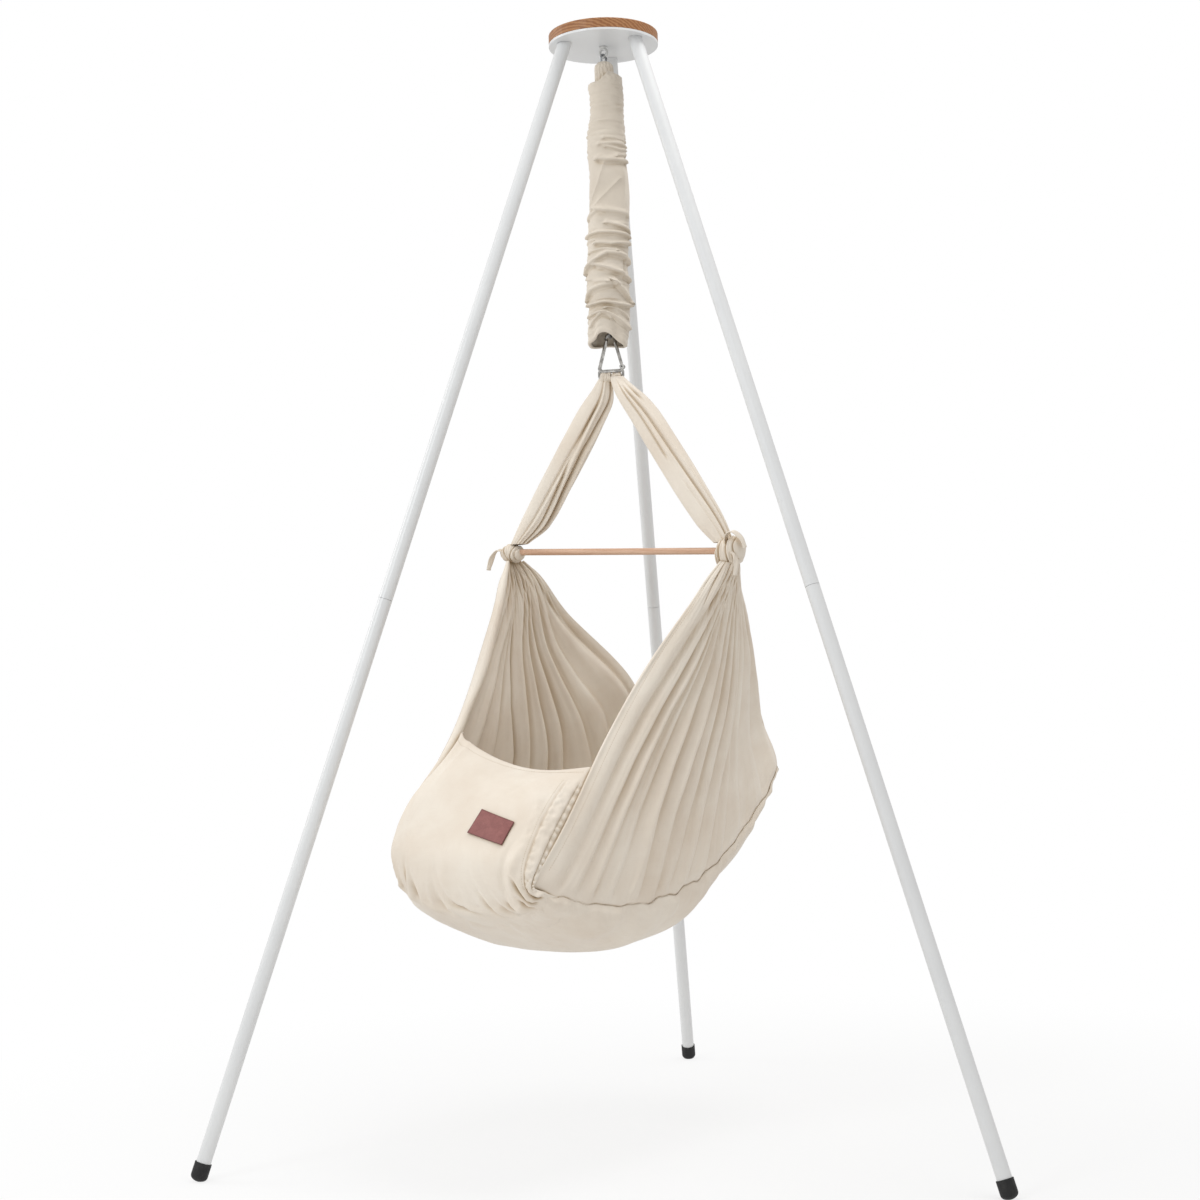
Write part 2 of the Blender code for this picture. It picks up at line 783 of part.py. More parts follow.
def gate_hinge():
    return Vector((HOOK_HALF_WIDTH, 0.0, -HOOK_HEIGHT + HOOK_CORNER + 0.001))


def gate_line():
    """The gate's hinge, and where its free end meets the nose."""
    return gate_hinge(), Vector((GATE_OFFSET + 0.0008, 0.0, -GATE_NOSE_DROP + 0.0006))


def slot_path():
    half = HOOK_HALF_WIDTH + 0.001
    low = -HOOK_HEIGHT - SLOT_DROP
    high = -HOOK_HEIGHT + 0.0004
    corner = 0.002
    points = []
    for x, z, start in (
        (half, high, 0.0), (-half, high, 90.0), (-half, low, 180.0), (half, low, 270.0)
    ):
        centre = Vector((x - math.copysign(corner, x), 0.0, z + (corner if z == low else -corner)))
        for i in range(3):
            angle = math.radians(start + 45.0 * i)
            points.append(centre + Vector((math.cos(angle), 0.0, math.sin(angle))) * corner)
    return points


def cross_cylinder(name, radius, width, centre, parent, steps=16):
    """A short cylinder lying across the snap hook's plane."""
    shape = bmesh.new()
    bmesh.ops.create_cone(
        shape, cap_ends=True, segments=steps, radius1=radius, radius2=radius, depth=width
    )
    obj = add_object(name, mesh_from(name, shape), None, parent, cutters)
    smooth(obj.data)
    obj.rotation_euler = (math.radians(90.0), 0.0, 0.0)
    obj.location = centre
    return as_cutter(obj)


def make_snap_hook(hook):
    """The hook's body with its webbing slot, the gate and the gate's pin."""
    hinge, nose = gate_line()
    body = baked(wire("carabiner_body", hook_path(), HOOK_WIRE, polished_steel, hook))
    slot = baked(wire("slot_frame", slot_path(), SLOT_WIRE, polished_steel, hook, cyclic=True))
    combine(body, slot, "UNION")
    lug = cross_cylinder("lug", GATE_LUG_RADIUS, GATE_LUG_WIDTH, hinge, hook)
    combine(body, lug, "UNION")
    fork_width = GATE_TONGUE + 2 * GAP
    fork = cross_cylinder("fork", GATE_LUG_RADIUS + 0.001, fork_width, hinge, hook)
    combine(body, fork, "DIFFERENCE")
    pin_hole = cross_cylinder("pin_hole", GATE_PIN_RADIUS + GAP, GATE_LUG_WIDTH * 2, hinge, hook)
    combine(body, pin_hole, "DIFFERENCE")

    along = (nose - hinge).normalized()
    start = hinge + along * (GATE_LUG_RADIUS + 0.0012)
    end = nose - along * 0.0006
    swing = make_empty("gate_axis", hinge, hook)
    gate_points = [start - hinge, end - hinge]
    gate = baked(wire("carabiner_gate", gate_points, GATE_RADIUS, polished_steel, swing, 3))
    tongue_points = [Vector(), (start - hinge) * 1.4]
    tongue = baked(wire("tongue", tongue_points, 0.0024, polished_steel, swing, 2))
    round_end = cross_cylinder("tongue_round", 0.0034, GATE_TONGUE, (0.0, 0.0, 0.0), swing)
    trim = cross_cylinder("tongue_trim", 0.008, GATE_TONGUE, (0.0, 0.0, 0.0), swing)
    keep = tongue.modifiers.new("Trim", "BOOLEAN")
    keep.operation = "INTERSECT"
    keep.object = trim
    combine(gate, tongue, "UNION")
    combine(gate, round_end, "UNION")
    gate_hole = cross_cylinder(
        "gate_hole", GATE_PIN_RADIUS + GAP, GATE_LUG_WIDTH * 2, (0.0, 0.0, 0.0), swing
    )
    combine(gate, gate_hole, "DIFFERENCE")
    pin = cross_cylinder("gate_pin", GATE_PIN_RADIUS, GATE_LUG_WIDTH, hinge, hook)
    pin.data.materials.append(dark_steel)
    cutters.objects.unlink(pin)
    parts.objects.link(pin)
    pin.hide_render = False
    pin.display_type = "TEXTURED"


# Cradle. Its points are counted from the bar's middle


def seam_height(y):
    return -SEAM_DROP + SEAM_CURVE * (y - SEAM_LOW_AT) ** 2


def length_share(y):
    return (y + CRADLE_FRONT) / (CRADLE_FRONT + CRADLE_REAR)


def half_width(y):
    t = length_share(y)
    return mix(HALF_WIDTH_FRONT, HALF_WIDTH_REAR, t) + HALF_WIDTH_SWELL * 4 * t * (1 - t)


def pouch_depth(y):
    t = length_share(y)
    swell = max(0.0, 4 * t * (1 - t)) ** mix(*POUCH_END_FULLNESS, t)
    return mix(POUCH_DEPTH_FRONT, POUCH_DEPTH_REAR, t) + POUCH_DEPTH_SWELL * swell


def seam_point(share):
    """A point of the right seam, which runs straight between the pouch's stations."""
    station = min(int(share * POUCH_ROWS + 0.0001), POUCH_ROWS - 1)
    ends = []
    for j in (station, station + 1):
        y = mix(-CRADLE_FRONT, CRADLE_REAR, j / POUCH_ROWS)
        ends.append(Vector((half_width(y), y, seam_height(y))))
    return ends[0].lerp(ends[1], share * POUCH_ROWS - station)


def front_edge(v):
    """The right wall's front edge, from the knot (0) to the seam (1): almost a straight line."""
    top = Vector((KNOT_SPAN / 2, -WALL_TOP_HALF, -WALL_TOP_BELOW_BAR))
    bottom = seam_point(0.0)
    point = top.lerp(bottom, v)
    straight = 0.65
    point.x = EDGE_HALF_WIDTH + (top.x - EDGE_HALF_WIDTH) * max(0.0, 1 - v / straight) ** 2
    point.x -= (EDGE_HALF_WIDTH - bottom.x) * v**8
    return point


def rear_edge(v):
    """The right wall's rear edge: it bows back and then drops to the seam."""
    top = Vector((KNOT_SPAN / 2, WALL_TOP_HALF, -WALL_TOP_BELOW_BAR))
    bottom = seam_point(1.0)
    point = top.lerp(bottom, v)
    rest = max(0.0, 1 - v)
    point.x = bottom.x + (top.x - bottom.x) * rest**4
    point.y = bottom.y + (top.y - bottom.y) * rest**2
    return point


def knot_shift(side, v):
    """How far the cloth is lifted at v, because the right-hand knot hangs lower than the left."""
    return -side * KNOT_DROP * max(0.0, 1 - v) ** 2


def wall_point(u, v):
    """The right wall's cloth: a patch between its two edges, the knot and the seam, with folds."""
    top_front = front_edge(0.0)
    top_rear = rear_edge(0.0)
    across = front_edge(v).lerp(rear_edge(v), u)
    down = top_front.lerp(top_rear, u).lerp(seam_point(u), v)
    corners = top_front.lerp(top_rear, u).lerp(seam_point(0.0).lerp(seam_point(1.0), u), v)
    point = across + down - corners
    swell = math.sin(math.pi * v)
    point.x += WALL_BELLY * swell * math.sin(math.pi * u)
    fold = math.sin(2 * math.pi * WALL_FOLDS * u)
    point.x += WALL_FOLD_DEPTH * fold * swell * math.sin(math.pi * u) ** 0.5
    return point


def mirrored(point, side):
    return Vector((point.x * side, point.y, point.z))


def make_wall(name, side, cradle):
    rows = []
    for j in range(WALL_ROWS + 1):
        v = j / WALL_ROWS
        row = [mirrored(wall_point(i / WALL_COLUMNS, v), side) for i in range(WALL_COLUMNS + 1)]
        for point in row:
            point.z += knot_shift(side, v)
        rows.append(row)
    for point in rows[-1]:
        point.z += SEAM_GAP
    return cloth_sheet(name, rows, CLOTH, cream_cotton, cradle)


def pouch_point(y, angle, inset=0.0):
    """The base pouch's section at y: 0 is its right seam, 90 its lowest line, 180 its left seam."""
    power = 2 / POUCH_SQUARENESS
    c = math.cos(angle)
    s = max(0.0, math.sin(angle))
    x = (half_width(y) - inset) * math.copysign(abs(c) ** power, c)
    z = seam_height(y) - (pouch_depth(y) - inset) * s**power
    return Vector((x, y, z))


def make_base_pouch(cradle):
    rows = []
    for j in range(POUCH_ROWS + 1):
        y = mix(-CRADLE_FRONT, CRADLE_REAR, j / POUCH_ROWS)
        row = [pouch_point(y, math.pi * i / POUCH_COLUMNS) for i in range(POUCH_COLUMNS + 1)]
        for point in (row[0], row[-1]):
            point.z -= SEAM_GAP / 3
        rows.append(row)
    return cloth_sheet("base_pouch", rows, CLOTH, cream_cotton, cradle)


def panel_point(edge, end_y, outward, top_share, sag, belly, s, w):
    """An end panel: s runs from the left wall (-1) to the right (1), w from its top to the pouch.

    top_share says how far down the walls' edges its top is sewn, at the left and at the right.
    """
    v = mix(mix(*top_share, (s + 1) / 2), 1.0, w)
    right = edge(v)
    along = edge(v + 0.001) - edge(v - 0.001)
    facing = Vector((0.0, -along.z, along.y)).normalized() * outward
    bottom = pouch_point(end_y, math.pi * (1 - s) / 2)
    point = Vector((right.x * s, right.y, right.z - sag * (1 - s * s) * (1 - w) ** 2))
    point.z += s * knot_shift(1, v)
    point = point.lerp(bottom, w**3)
    push = belly * (1 - abs(s) ** 4) * (0.35 * (1 - w) + 4 * w * (1 - w))
    clear = CLOTH / 2 + SEAM_GAP
    low_clear = clear + CLOTH
    return point + facing * (push + clear * (1 - w)) + Vector((0.0, outward * low_clear * w, 0.0))


def front_panel_point(s, w):
    return panel_point(
        front_edge, -CRADLE_FRONT, -1, FRONT_PANEL_TOP,
        FRONT_PANEL_SAG, FRONT_PANEL_BELLY, s, w,
    )


def rear_panel_point(s, w):
    return panel_point(
        rear_edge, CRADLE_REAR, 1, REAR_PANEL_TOP,
        REAR_PANEL_SAG, REAR_PANEL_BELLY, s, w,
    )


def make_end_panel(name, point_at, cradle):
    rows = []
    for j in range(PANEL_ROWS + 1):
        w = j / PANEL_ROWS
        rows.append([point_at(2 * i / PANEL_COLUMNS - 1, w) for i in range(PANEL_COLUMNS + 1)])
    return cloth_sheet(name, rows, CLOTH, cream_cotton, cradle)


def pouch_between_stations(y, angle, inset):
    """The pouch's point at any y, which lies straight between those of its two stations."""
    share = length_share(y) * POUCH_ROWS
    station = min(int(share), POUCH_ROWS - 1)
    ends = []
    for j in (station, station + 1):
        ends.append(pouch_point(mix(-CRADLE_FRONT, CRADLE_REAR, j / POUCH_ROWS), angle, inset))
    return ends[0].lerp(ends[1], share - station)


def make_mattress(cradle):
    """A pad that lies in the pouch and grows thicker towards the rear, where the head rests."""
    stations = [mix(-CRADLE_FRONT, CRADLE_REAR, j / POUCH_ROWS) for j in range(POUCH_ROWS + 1)]
    clear = 0.01
    inner = [y for y in stations if -MATTRESS_FRONT + clear < y < MATTRESS_REAR - clear]
    rings = []
    for y in [-MATTRESS_FRONT, *inner, MATTRESS_REAR]:
        t = (y + MATTRESS_FRONT) / (MATTRESS_REAR + MATTRESS_FRONT)
        end = min(1.0, 3.0 * min(t, 1 - t) + 0.5)
        under = [
            pouch_between_stations(y, math.pi * i / POUCH_COLUMNS, MATTRESS_INSET)
            for i in range(MATTRESS_RIM_STEPS, POUCH_COLUMNS - MATTRESS_RIM_STEPS + 1)
        ]
        rim = under[0]
        lowest = min(point.z for point in under)
        middle = lowest + mix(MATTRESS_THIN, MATTRESS_THICK, t) * end
        top = []
        for point in reversed(under):
            share = abs(point.x / rim.x)
            z = mix(middle, rim.z + MATTRESS_SIDE * end, share**3)
            top.append(Vector((point.x * (1 - 0.04 * share), y, z)))
        rings.append(under + top)
    return lofted("mattress", rings, quilted_cotton, cradle)


def make_label(cradle):
    """A flat leather patch that follows the front panel's curve."""
    columns = 4
    rows_count = 3
    turn = math.radians(LABEL_TURN)
    reach = 0.01
    middle = front_panel_point(LABEL_ACROSS, LABEL_DOWN_PANEL)
    across = (front_panel_point(LABEL_ACROSS + reach, LABEL_DOWN_PANEL) - middle).length / reach
    down = (front_panel_point(LABEL_ACROSS, LABEL_DOWN_PANEL + reach) - middle).length / reach
    lift = CLOTH / 2 + LABEL_THICKNESS / 2 + GAP * 2
    rows = []
    for j in range(rows_count + 1):
        b = LABEL_HEIGHT * (j / rows_count - 0.5)
        row = []
        for i in range(columns + 1):
            a = LABEL_WIDTH * (i / columns - 0.5)
            s = LABEL_ACROSS + (a * math.cos(turn) - b * math.sin(turn)) / across
            w = LABEL_DOWN_PANEL + (a * math.sin(turn) + b * math.cos(turn)) / down
            here = front_panel_point(s, w)
            side = front_panel_point(s + reach, w) - here
            below = front_panel_point(s, w + reach) - here
            normal = below.cross(side).normalized()
            row.append(here + normal * lift)
        rows.append(row)
    return cloth_sheet("label_patch", rows, LABEL_THICKNESS, red_leather, cradle)


def knot_centre(side):
    return Vector((side * KNOT_SPAN / 2, 0.0, -side * KNOT_DROP))


def bar_tilt():
    """How far the bar leans down to the right, about Y."""
    return math.asin(2 * KNOT_DROP / KNOT_SPAN)


def strap_section(t):
    """Half width and half depth of a strap's section, from its loop (0) to the knot (1)."""
    full = math.sin(math.pi * (0.10 + 0.84 * t)) ** 0.6
    spread = min(1.0, 4 * t)
    wide = mix(STRAP_NECK_HALF_WIDTH, STRAP_HALF_WIDTH * full, spread)
    deep = mix(STRAP_NECK_HALF_DEPTH, STRAP_HALF_DEPTH * full, spread)
    return wide, deep


def make_strap(name, side, top, cradle):
    """A gathered strap from its loop round the hook's slot bar to the knot."""
    knot_top = knot_centre(side) + Vector((0.0, 0.0, KNOT_RADII[2] * (1 + KNOT_SWELL) + GAP))
    run = knot_top - top
    lean = math.atan2(abs(run.x), -run.z) * side
    rings = []
    for j in range(STRAP_RINGS + 1):
        t = j / STRAP_RINGS
        centre = top.lerp(knot_top, t)
        centre.x -= side * STRAP_BOW * math.sin(math.pi * t)
        wide, deep = strap_section(t)
        folds = STRAP_FOLD_DEPTH * math.sin(math.pi * min(1.0, t * 3) / 2)
        turn = math.radians(mix(HOOK_TURN, 0.0, t))
        slope = lean * min(1.0, 6 * t, 6 * (1 - t))
        row = []
        for i in range(STRAP_SIDES):
            angle = 2 * math.pi * i / STRAP_SIDES
            swell = 1 + folds * math.cos(STRAP_FOLDS * angle)
            a = wide * swell * math.cos(angle)
            b = deep * swell * math.sin(angle)
            offset = Vector((a * math.cos(slope), b, a * math.sin(slope)))
            offset.rotate(Matrix.Rotation(turn, 3, "Z"))
            row.append(centre + offset)
        rings.append(row)
    rings.insert(0, [point + Vector((0.0, 0.0, STRAP_NECK)) for point in rings[0]])
    return lofted(name, rings, cream_cotton, cradle)


def make_strap_loop(name, side, bar_centre, cradle):
    """The strap's end, folded round the slot bar and sewn: a short sleeve with a bore."""
    inner = SLOT_WIRE + GAP
    outer = inner + STRAP_LOOP_CLOTH
    reach = HOOK_HALF_WIDTH + 0.001 - SLOT_WIRE - GAP * 2
    low, high = 0.0006, reach
    profile = [(outer, high), (outer, low), (inner, low), (inner, high)]
    loop = turned(name, profile, cream_cotton, cradle, closed=True, steps=16)
    loop.location = bar_centre
    loop.rotation_euler = (0.0, math.radians(90.0 * side), math.radians(HOOK_TURN))
    return outer, (low + high) / 2


def make_straps(cradle):
    """Both straps, each one body with its loop."""
    bar_centre = Vector((0.0, 0.0, STRAP_DROP))
    turn = Matrix.Rotation(math.radians(HOOK_TURN), 3, "Z")
    for side, word in ((-1, "left"), (1, "right")):
        outer, middle = make_strap_loop(f"strap_loop_{word}", side, bar_centre, cradle)
        start = turn @ Vector((side * middle, 0.0, 0.0)) + bar_centre
        start.z -= outer - STRAP_LOOP_CLOTH / 2 + STRAP_NECK
        strap = make_strap(f"strap_{word}", side, start, cradle)
        combine(strap, bpy.data.objects[f"strap_loop_{word}"], "UNION")


def make_knot(word, side, ribbon_ends, cradle):
    """The knot round the bar's end: a wound bundle bored for the bar, and its ribbon ends."""
    rx, ry, rz = KNOT_RADII
    rings = []
    for j in range(KNOT_STATIONS + 1):
        t = j / KNOT_STATIONS
        angle = math.pi * mix(0.06, 0.94, t)
        wraps = 1 + KNOT_SWELL * math.cos(2 * math.pi * KNOT_WRAPS * t)
        row = []
        for i in range(KNOT_SIDES):
            around = 2 * math.pi * i / KNOT_SIDES
            r = math.sin(angle) ** 0.7 * wraps
            y = ry * r * math.cos(around)
            row.append(Vector((-rx * math.cos(angle), y, rz * r * math.sin(around))))
        rings.append(row)
    knot = lofted(f"tie_knot_{word}", rings, cream_cotton, cradle)
    knot.location = knot_centre(side)
    knot.rotation_euler = (0.0, bar_tilt(), 0.0)
    bore = cross_cylinder(
        f"knot_bore_{word}", BAR_RADIUS + GAP, 4 * rx, (0.0, 0.0, 0.0), knot, ROUND_STEPS
    )
    bore.rotation_euler = (0.0, math.radians(90.0), 0.0)
    for i, (points, facing) in enumerate(ribbon_ends):
        combine(knot, make_ribbon(f"ribbon_{word}_{i + 1}", points, facing, knot), "UNION")
    combine(knot, bore, "DIFFERENCE")


def make_bar(cradle):
    half = BAR_LENGTH / 2
    edge = 0.0012
    profile = [(0.0, half), (BAR_RADIUS - edge, half), (BAR_RADIUS, half - edge)]
    profile += [(BAR_RADIUS, edge - half), (BAR_RADIUS - edge, -half), (0.0, -half)]
    bar = turned("spreader_bar", profile, beech, cradle, closed=False)
    bar.rotation_euler = (0.0, math.radians(90.0) + bar_tilt(), 0.0)


def make_ribbon(name, points, facing, cradle):
    """A flat ribbon end along a smooth path. Its width stands along facing."""
    centre = [Vector(point) for point in points]
    dense = []
    steps = 2
    for i in range(len(centre) - 1):
        before = centre[max(0, i - 1)]
        after = centre[min(len(centre) - 1, i + 2)]
        for k in range(steps):
            t = k / steps
            a, b = centre[i], centre[i + 1]
            dense.append(
                0.5 * (
                    2 * a
                    + (b - before) * t
                    + (2 * before - 5 * a + 4 * b - after) * t**2
                    + (3 * a - before - 3 * b + after) * t**3
                )
            )
    dense.append(centre[-1])
    width = Vector(facing).normalized() * RIBBON_WIDTH / 2
    rows = [[point - width, point, point + width] for point in dense]
    return cloth_sheet(name, rows, RIBBON_THICKNESS, cream_cotton, cradle)


def make_ties(cradle):
    """Both knots. One ribbon end shows at the left and two at the right, each from its knot's skin."""
    rx, ry, rz = KNOT_RADII
    left_end = [
        (-0.6 * rx, -0.5 * ry, 0.3 * rz),
        (-1.4 * rx, -0.75 * ry, 0.3 * rz),
        (-1.85 * rx, -0.9 * ry, -0.5 * rz),
        (-2.2 * rx, -1.0 * ry, -1.8 * rz),
    ]
    upper_end = [
        (0.3 * rx, -0.6 * ry, 0.4 * rz),
        (0.5 * rx, -0.95 * ry, 1.3 * rz),
        (1.2 * rx, -0.95 * ry, 1.6 * rz),
        (1.9 * rx, -0.6 * ry, 0.7 * rz),
        (2.1 * rx, -0.4 * ry, -0.2 * rz),
    ]
    lower_end = [
        (0.6 * rx, -0.2 * ry, -0.2 * rz),
        (1.25 * rx, -0.3 * ry, -0.8 * rz),
        (1.3 * rx, -0.5 * ry, -1.7 * rz),
        (1.1 * rx, -0.5 * ry, -2.5 * rz),
    ]
    make_knot("left", -1, [(left_end, (0.25, 1.0, 0.2))], cradle)
    make_knot("right", 1, [(upper_end, (0.2, 1.0, 0.3)), (lower_end, (0.3, 1.0, 0.0))], cradle)


def make_cradle(cradle):
    make_straps(cradle)
    make_bar(cradle)
    for side, word in ((-1, "left"), (1, "right")):
        make_wall(f"wall_{word}", side, cradle)
    make_ties(cradle)
    make_base_pouch(cradle)
    make_end_panel("front_panel", front_panel_point, cradle)
    make_end_panel("rear_panel", rear_panel_point, cradle)
    make_mattress(cradle)
    make_label(cradle)


def make_suspension(stand, fore_pivot):
    """Everything that hangs from the eye bolt, each part's empty on the joint that moves it."""
    link = make_empty("swing_fore_axis", (0.0, 0.0, fore_pivot), stand)
    side_pivot = make_hanger_link(fore_pivot, link)
    spring = make_empty("swing_side_axis", (0.0, 0.0, side_pivot - fore_pivot), link)
    eye_centre, tip = make_top_eye(spring)
    low_tip = make_coil(tip, spring)
    make_sleeve(eye_centre, spring)
    bounce = make_empty("bounce_slide", (0.0, 0.0, 0.0), spring)
    bush_top = make_swivel_bush(low_tip, bounce)
    turn = make_empty("swivel_axis", (0.0, 0.0, 0.0), bounce)
    hook_top = PLATE_UNDERSIDE - SUSPENSION_LENGTH - side_pivot
    make_swivel_rod(bush_top, hook_top, turn)
    hook = make_empty("hook_frame", (0.0, 0.0, hook_top), turn, (0.0, 0.0, math.radians(HOOK_TURN)))
    make_snap_hook(hook)
    slot_bar = hook_top - HOOK_HEIGHT - SLOT_DROP
    cradle = make_empty("cradle_frame", (0.0, 0.0, slot_bar - STRAP_DROP), turn)
    make_cradle(cradle)


def centre_on_footprint(stand):
    """Moves the stand so that the box round everything stands centred on the origin."""
    bpy.context.view_layer.update()
    graph = bpy.context.evaluated_depsgraph_get()
    low = Vector((math.inf, math.inf))
    high = Vector((-math.inf, -math.inf))
    for obj in parts.objects:
        if obj.type == "EMPTY":
            continue
        evaluated = obj.evaluated_get(graph)
        mesh = evaluated.to_mesh()
        for vertex in mesh.vertices:
            place = evaluated.matrix_world @ vertex.co
            for i in range(2):
                low[i] = min(low[i], place[i])
                high[i] = max(high[i], place[i])
        evaluated.to_mesh_clear()
    stand.location = (-(low.x + high.x) / 2, -(low.y + high.y) / 2, 0.0)


clear_scene()
parts = make_collection("Baby spring cradle")
cutters = make_collection("Cutters")
white_steel = make_material("White powder-coated steel", (0.80, 0.80, 0.80), 0.45)
bare_steel = make_material("Zinc-plated steel", (0.55, 0.56, 0.57), 0.35, 1.0)
zinc = make_material("Bright zinc", (0.66, 0.66, 0.66), 0.30, 1.0)
dark_steel = make_material("Dark steel", (0.07, 0.07, 0.07), 0.35, 1.0)
polished_steel = make_material("Polished steel", (0.72, 0.72, 0.72), 0.12, 1.0)
brass = make_material("Brass", (0.60, 0.44, 0.20), 0.35, 1.0)
black_rubber = make_material("Black rubber", (0.012, 0.012, 0.012), 0.60)
oiled_wood = make_material("Oiled oak", (0.36, 0.17, 0.07), 0.50)
beech = make_material("Pale beech", (0.62, 0.40, 0.27), 0.55)
cream_cotton = make_material("Cream cotton", (0.80, 0.72, 0.59), 0.90)
quilted_cotton = make_material("Mattress cotton", (0.84, 0.80, 0.72), 0.90)
red_leather = make_material("Dusty red leather", (0.32, 0.11, 0.10), 0.60)

stand_frame, fore_pivot_height = make_stand()
make_suspension(stand_frame, fore_pivot_height)
centre_on_footprint(stand_frame)
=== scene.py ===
"""Looks of the baby spring cradle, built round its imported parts. Metres, +Z up."""

import math

import bpy
import numpy as np
from mathutils import Matrix, Vector
from mathutils.bvhtree import BVHTree


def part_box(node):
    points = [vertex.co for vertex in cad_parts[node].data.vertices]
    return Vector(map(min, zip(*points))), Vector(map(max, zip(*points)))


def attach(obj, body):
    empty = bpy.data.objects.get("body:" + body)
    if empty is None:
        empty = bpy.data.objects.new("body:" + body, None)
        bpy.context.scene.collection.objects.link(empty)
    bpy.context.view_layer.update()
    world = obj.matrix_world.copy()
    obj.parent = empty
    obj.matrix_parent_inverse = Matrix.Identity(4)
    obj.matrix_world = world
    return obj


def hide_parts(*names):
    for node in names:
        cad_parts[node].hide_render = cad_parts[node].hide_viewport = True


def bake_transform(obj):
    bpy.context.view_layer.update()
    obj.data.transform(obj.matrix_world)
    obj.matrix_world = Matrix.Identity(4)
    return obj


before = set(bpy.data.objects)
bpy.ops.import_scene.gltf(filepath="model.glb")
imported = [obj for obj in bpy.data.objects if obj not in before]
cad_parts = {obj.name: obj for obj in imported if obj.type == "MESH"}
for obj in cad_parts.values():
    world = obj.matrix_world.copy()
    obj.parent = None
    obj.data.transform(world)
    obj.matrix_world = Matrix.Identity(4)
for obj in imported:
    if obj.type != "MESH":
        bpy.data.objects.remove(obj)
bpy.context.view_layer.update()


bar_low, bar_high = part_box("spreader_bar")
BAR_CENTRE = np.array((bar_low + bar_high) / 2)
AXIS = BAR_CENTRE[0]


def add_object(name, data):
    obj = bpy.data.objects.new(name, data)
    bpy.context.scene.collection.objects.link(obj)
    return obj


# Camera. Its place and lens were solved from the photograph's legs and disc

PHOTO_PIXELS, FOCAL_PIXELS = 1200, 2015.64
VIEW_TURN = math.radians(40.0)
VIEW_PLACE = (0.0, -3.66137, 0.80583)
YAW, PITCH, ROLL = -0.008233, 0.043879, -0.023562


def make_camera():
    """The photograph's viewpoint: level with the cradle, 40 degrees round from its front."""
    spin = Matrix.Rotation(VIEW_TURN, 3, "Z")
    ahead = Vector((math.sin(YAW) * math.cos(PITCH), math.cos(YAW) * math.cos(PITCH), math.sin(PITCH)))
    level = Vector((math.cos(YAW), -math.sin(YAW), 0.0))
    over = level.cross(ahead)
    right = level * math.cos(ROLL) + over * math.sin(ROLL)
    up = over * math.cos(ROLL) - level * math.sin(ROLL)
    turn = Matrix((spin @ right, spin @ up, spin @ -ahead)).transposed()
    data = bpy.data.cameras.new("camera")
    data.sensor_width = 36.0
    data.lens = FOCAL_PIXELS / PHOTO_PIXELS * data.sensor_width
    data.clip_end = 60.0
    camera = add_object("camera", data)
    place = spin @ Vector(VIEW_PLACE) + Vector((AXIS, 0.0, 0.0))
    camera.matrix_world = Matrix.Translation(place) @ turn.to_4x4()
    bpy.context.scene.camera = camera


make_camera()


# Materials


class Nodes:
    """The nodes of a material or world: they are added by kind, and joined as they are made."""

    def __init__(self, tree):
        self.tree = tree

    def node(self, kind, inputs=None, out=0, **settings):
        """Adds a node. Each input is a socket to join, or a value. Returns one output."""
        made = self.tree.nodes.new("ShaderNode" + kind)
        for key, value in settings.items():
            setattr(made, key, value)
        for key, value in (inputs or {}).items():
            if isinstance(value, bpy.types.NodeSocket):
                self.tree.links.new(value, made.inputs[key])
            else:
                made.inputs[key].default_value = value
        return made.outputs[out]

    def maths(self, kind, a, b):
        return self.node("Math", {0: a, 1: b}, operation=kind)

    def scaled(self, value, factor, plus):
        return self.maths("ADD", self.maths("MULTIPLY", value, factor), plus)

    def output(self, output, share, shader, other):
        """Joins the tree's output node to a mix of two shaders."""
        mixed = self.node("MixShader", {0: share, 1: shader, 2: other})
        self.tree.links.new(mixed, self.tree.nodes[output].inputs[0])


class Look(Nodes):
    """A procedural material on the Principled shader. fixed gives the shader's own values."""

    def __init__(self, name, **fixed):
        self.material = bpy.data.materials.new(name)
        self.material.use_nodes = True
        super().__init__(self.material.node_tree)
        self.shader = self.tree.nodes["Principled BSDF"]
        for socket, value in fixed.items():
            self.shader.inputs[socket.replace("_", " ")].default_value = value

    def coords(self, kind="Object", scale=(1.0, 1.0, 1.0)):
        return self.node("Mapping", {"Vector": self.node("TexCoord", out=kind), "Scale": scale})

    def noise(self, where, scale, detail=2.0, roughness=0.5, distortion=0.0):
        return self.node("TexNoise", {"Vector": where, "Scale": scale, "Detail": detail,
                                      "Roughness": roughness, "Distortion": distortion})

    def ramp(self, value, low, high, start=0.0, end=1.0):
        """A grey that runs from start to end while value goes from low to high."""
        out = self.node("ValToRGB", {0: value})
        for point, place, grey in zip(out.node.color_ramp.elements, (low, high), (start, end)):
            point.position = place
            point.color = (grey, grey, grey, 1.0)
        return out

    def mix(self, share, a, b):
        """Colours a and b, each a socket or three values, mixed by share of b."""
        a, b = (c if isinstance(c, bpy.types.NodeSocket) else (*c, 1.0) for c in (a, b))
        return self.node("Mix", {0: share, 6: a, 7: b}, 2, data_type="RGBA")

    def tint(self, tone, colour, where, share):
        """A tone with share of another colour laid over it where the mask is 1."""
        return self.mix(self.maths("MULTIPLY", where, share), tone, colour)

    def bump(self, height, distance, strength=1.0, under=None):
        inputs = {"Height": height, "Distance": distance, "Strength": strength}
        if under is not None:
            inputs["Normal"] = under
        return self.node("Bump", inputs)

    def join(self, colour, roughness, normal):
        for socket, value in (("Base Color", colour), ("Roughness", roughness), ("Normal", normal)):
            self.tree.links.new(value, self.shader.inputs[socket])
        return self.material


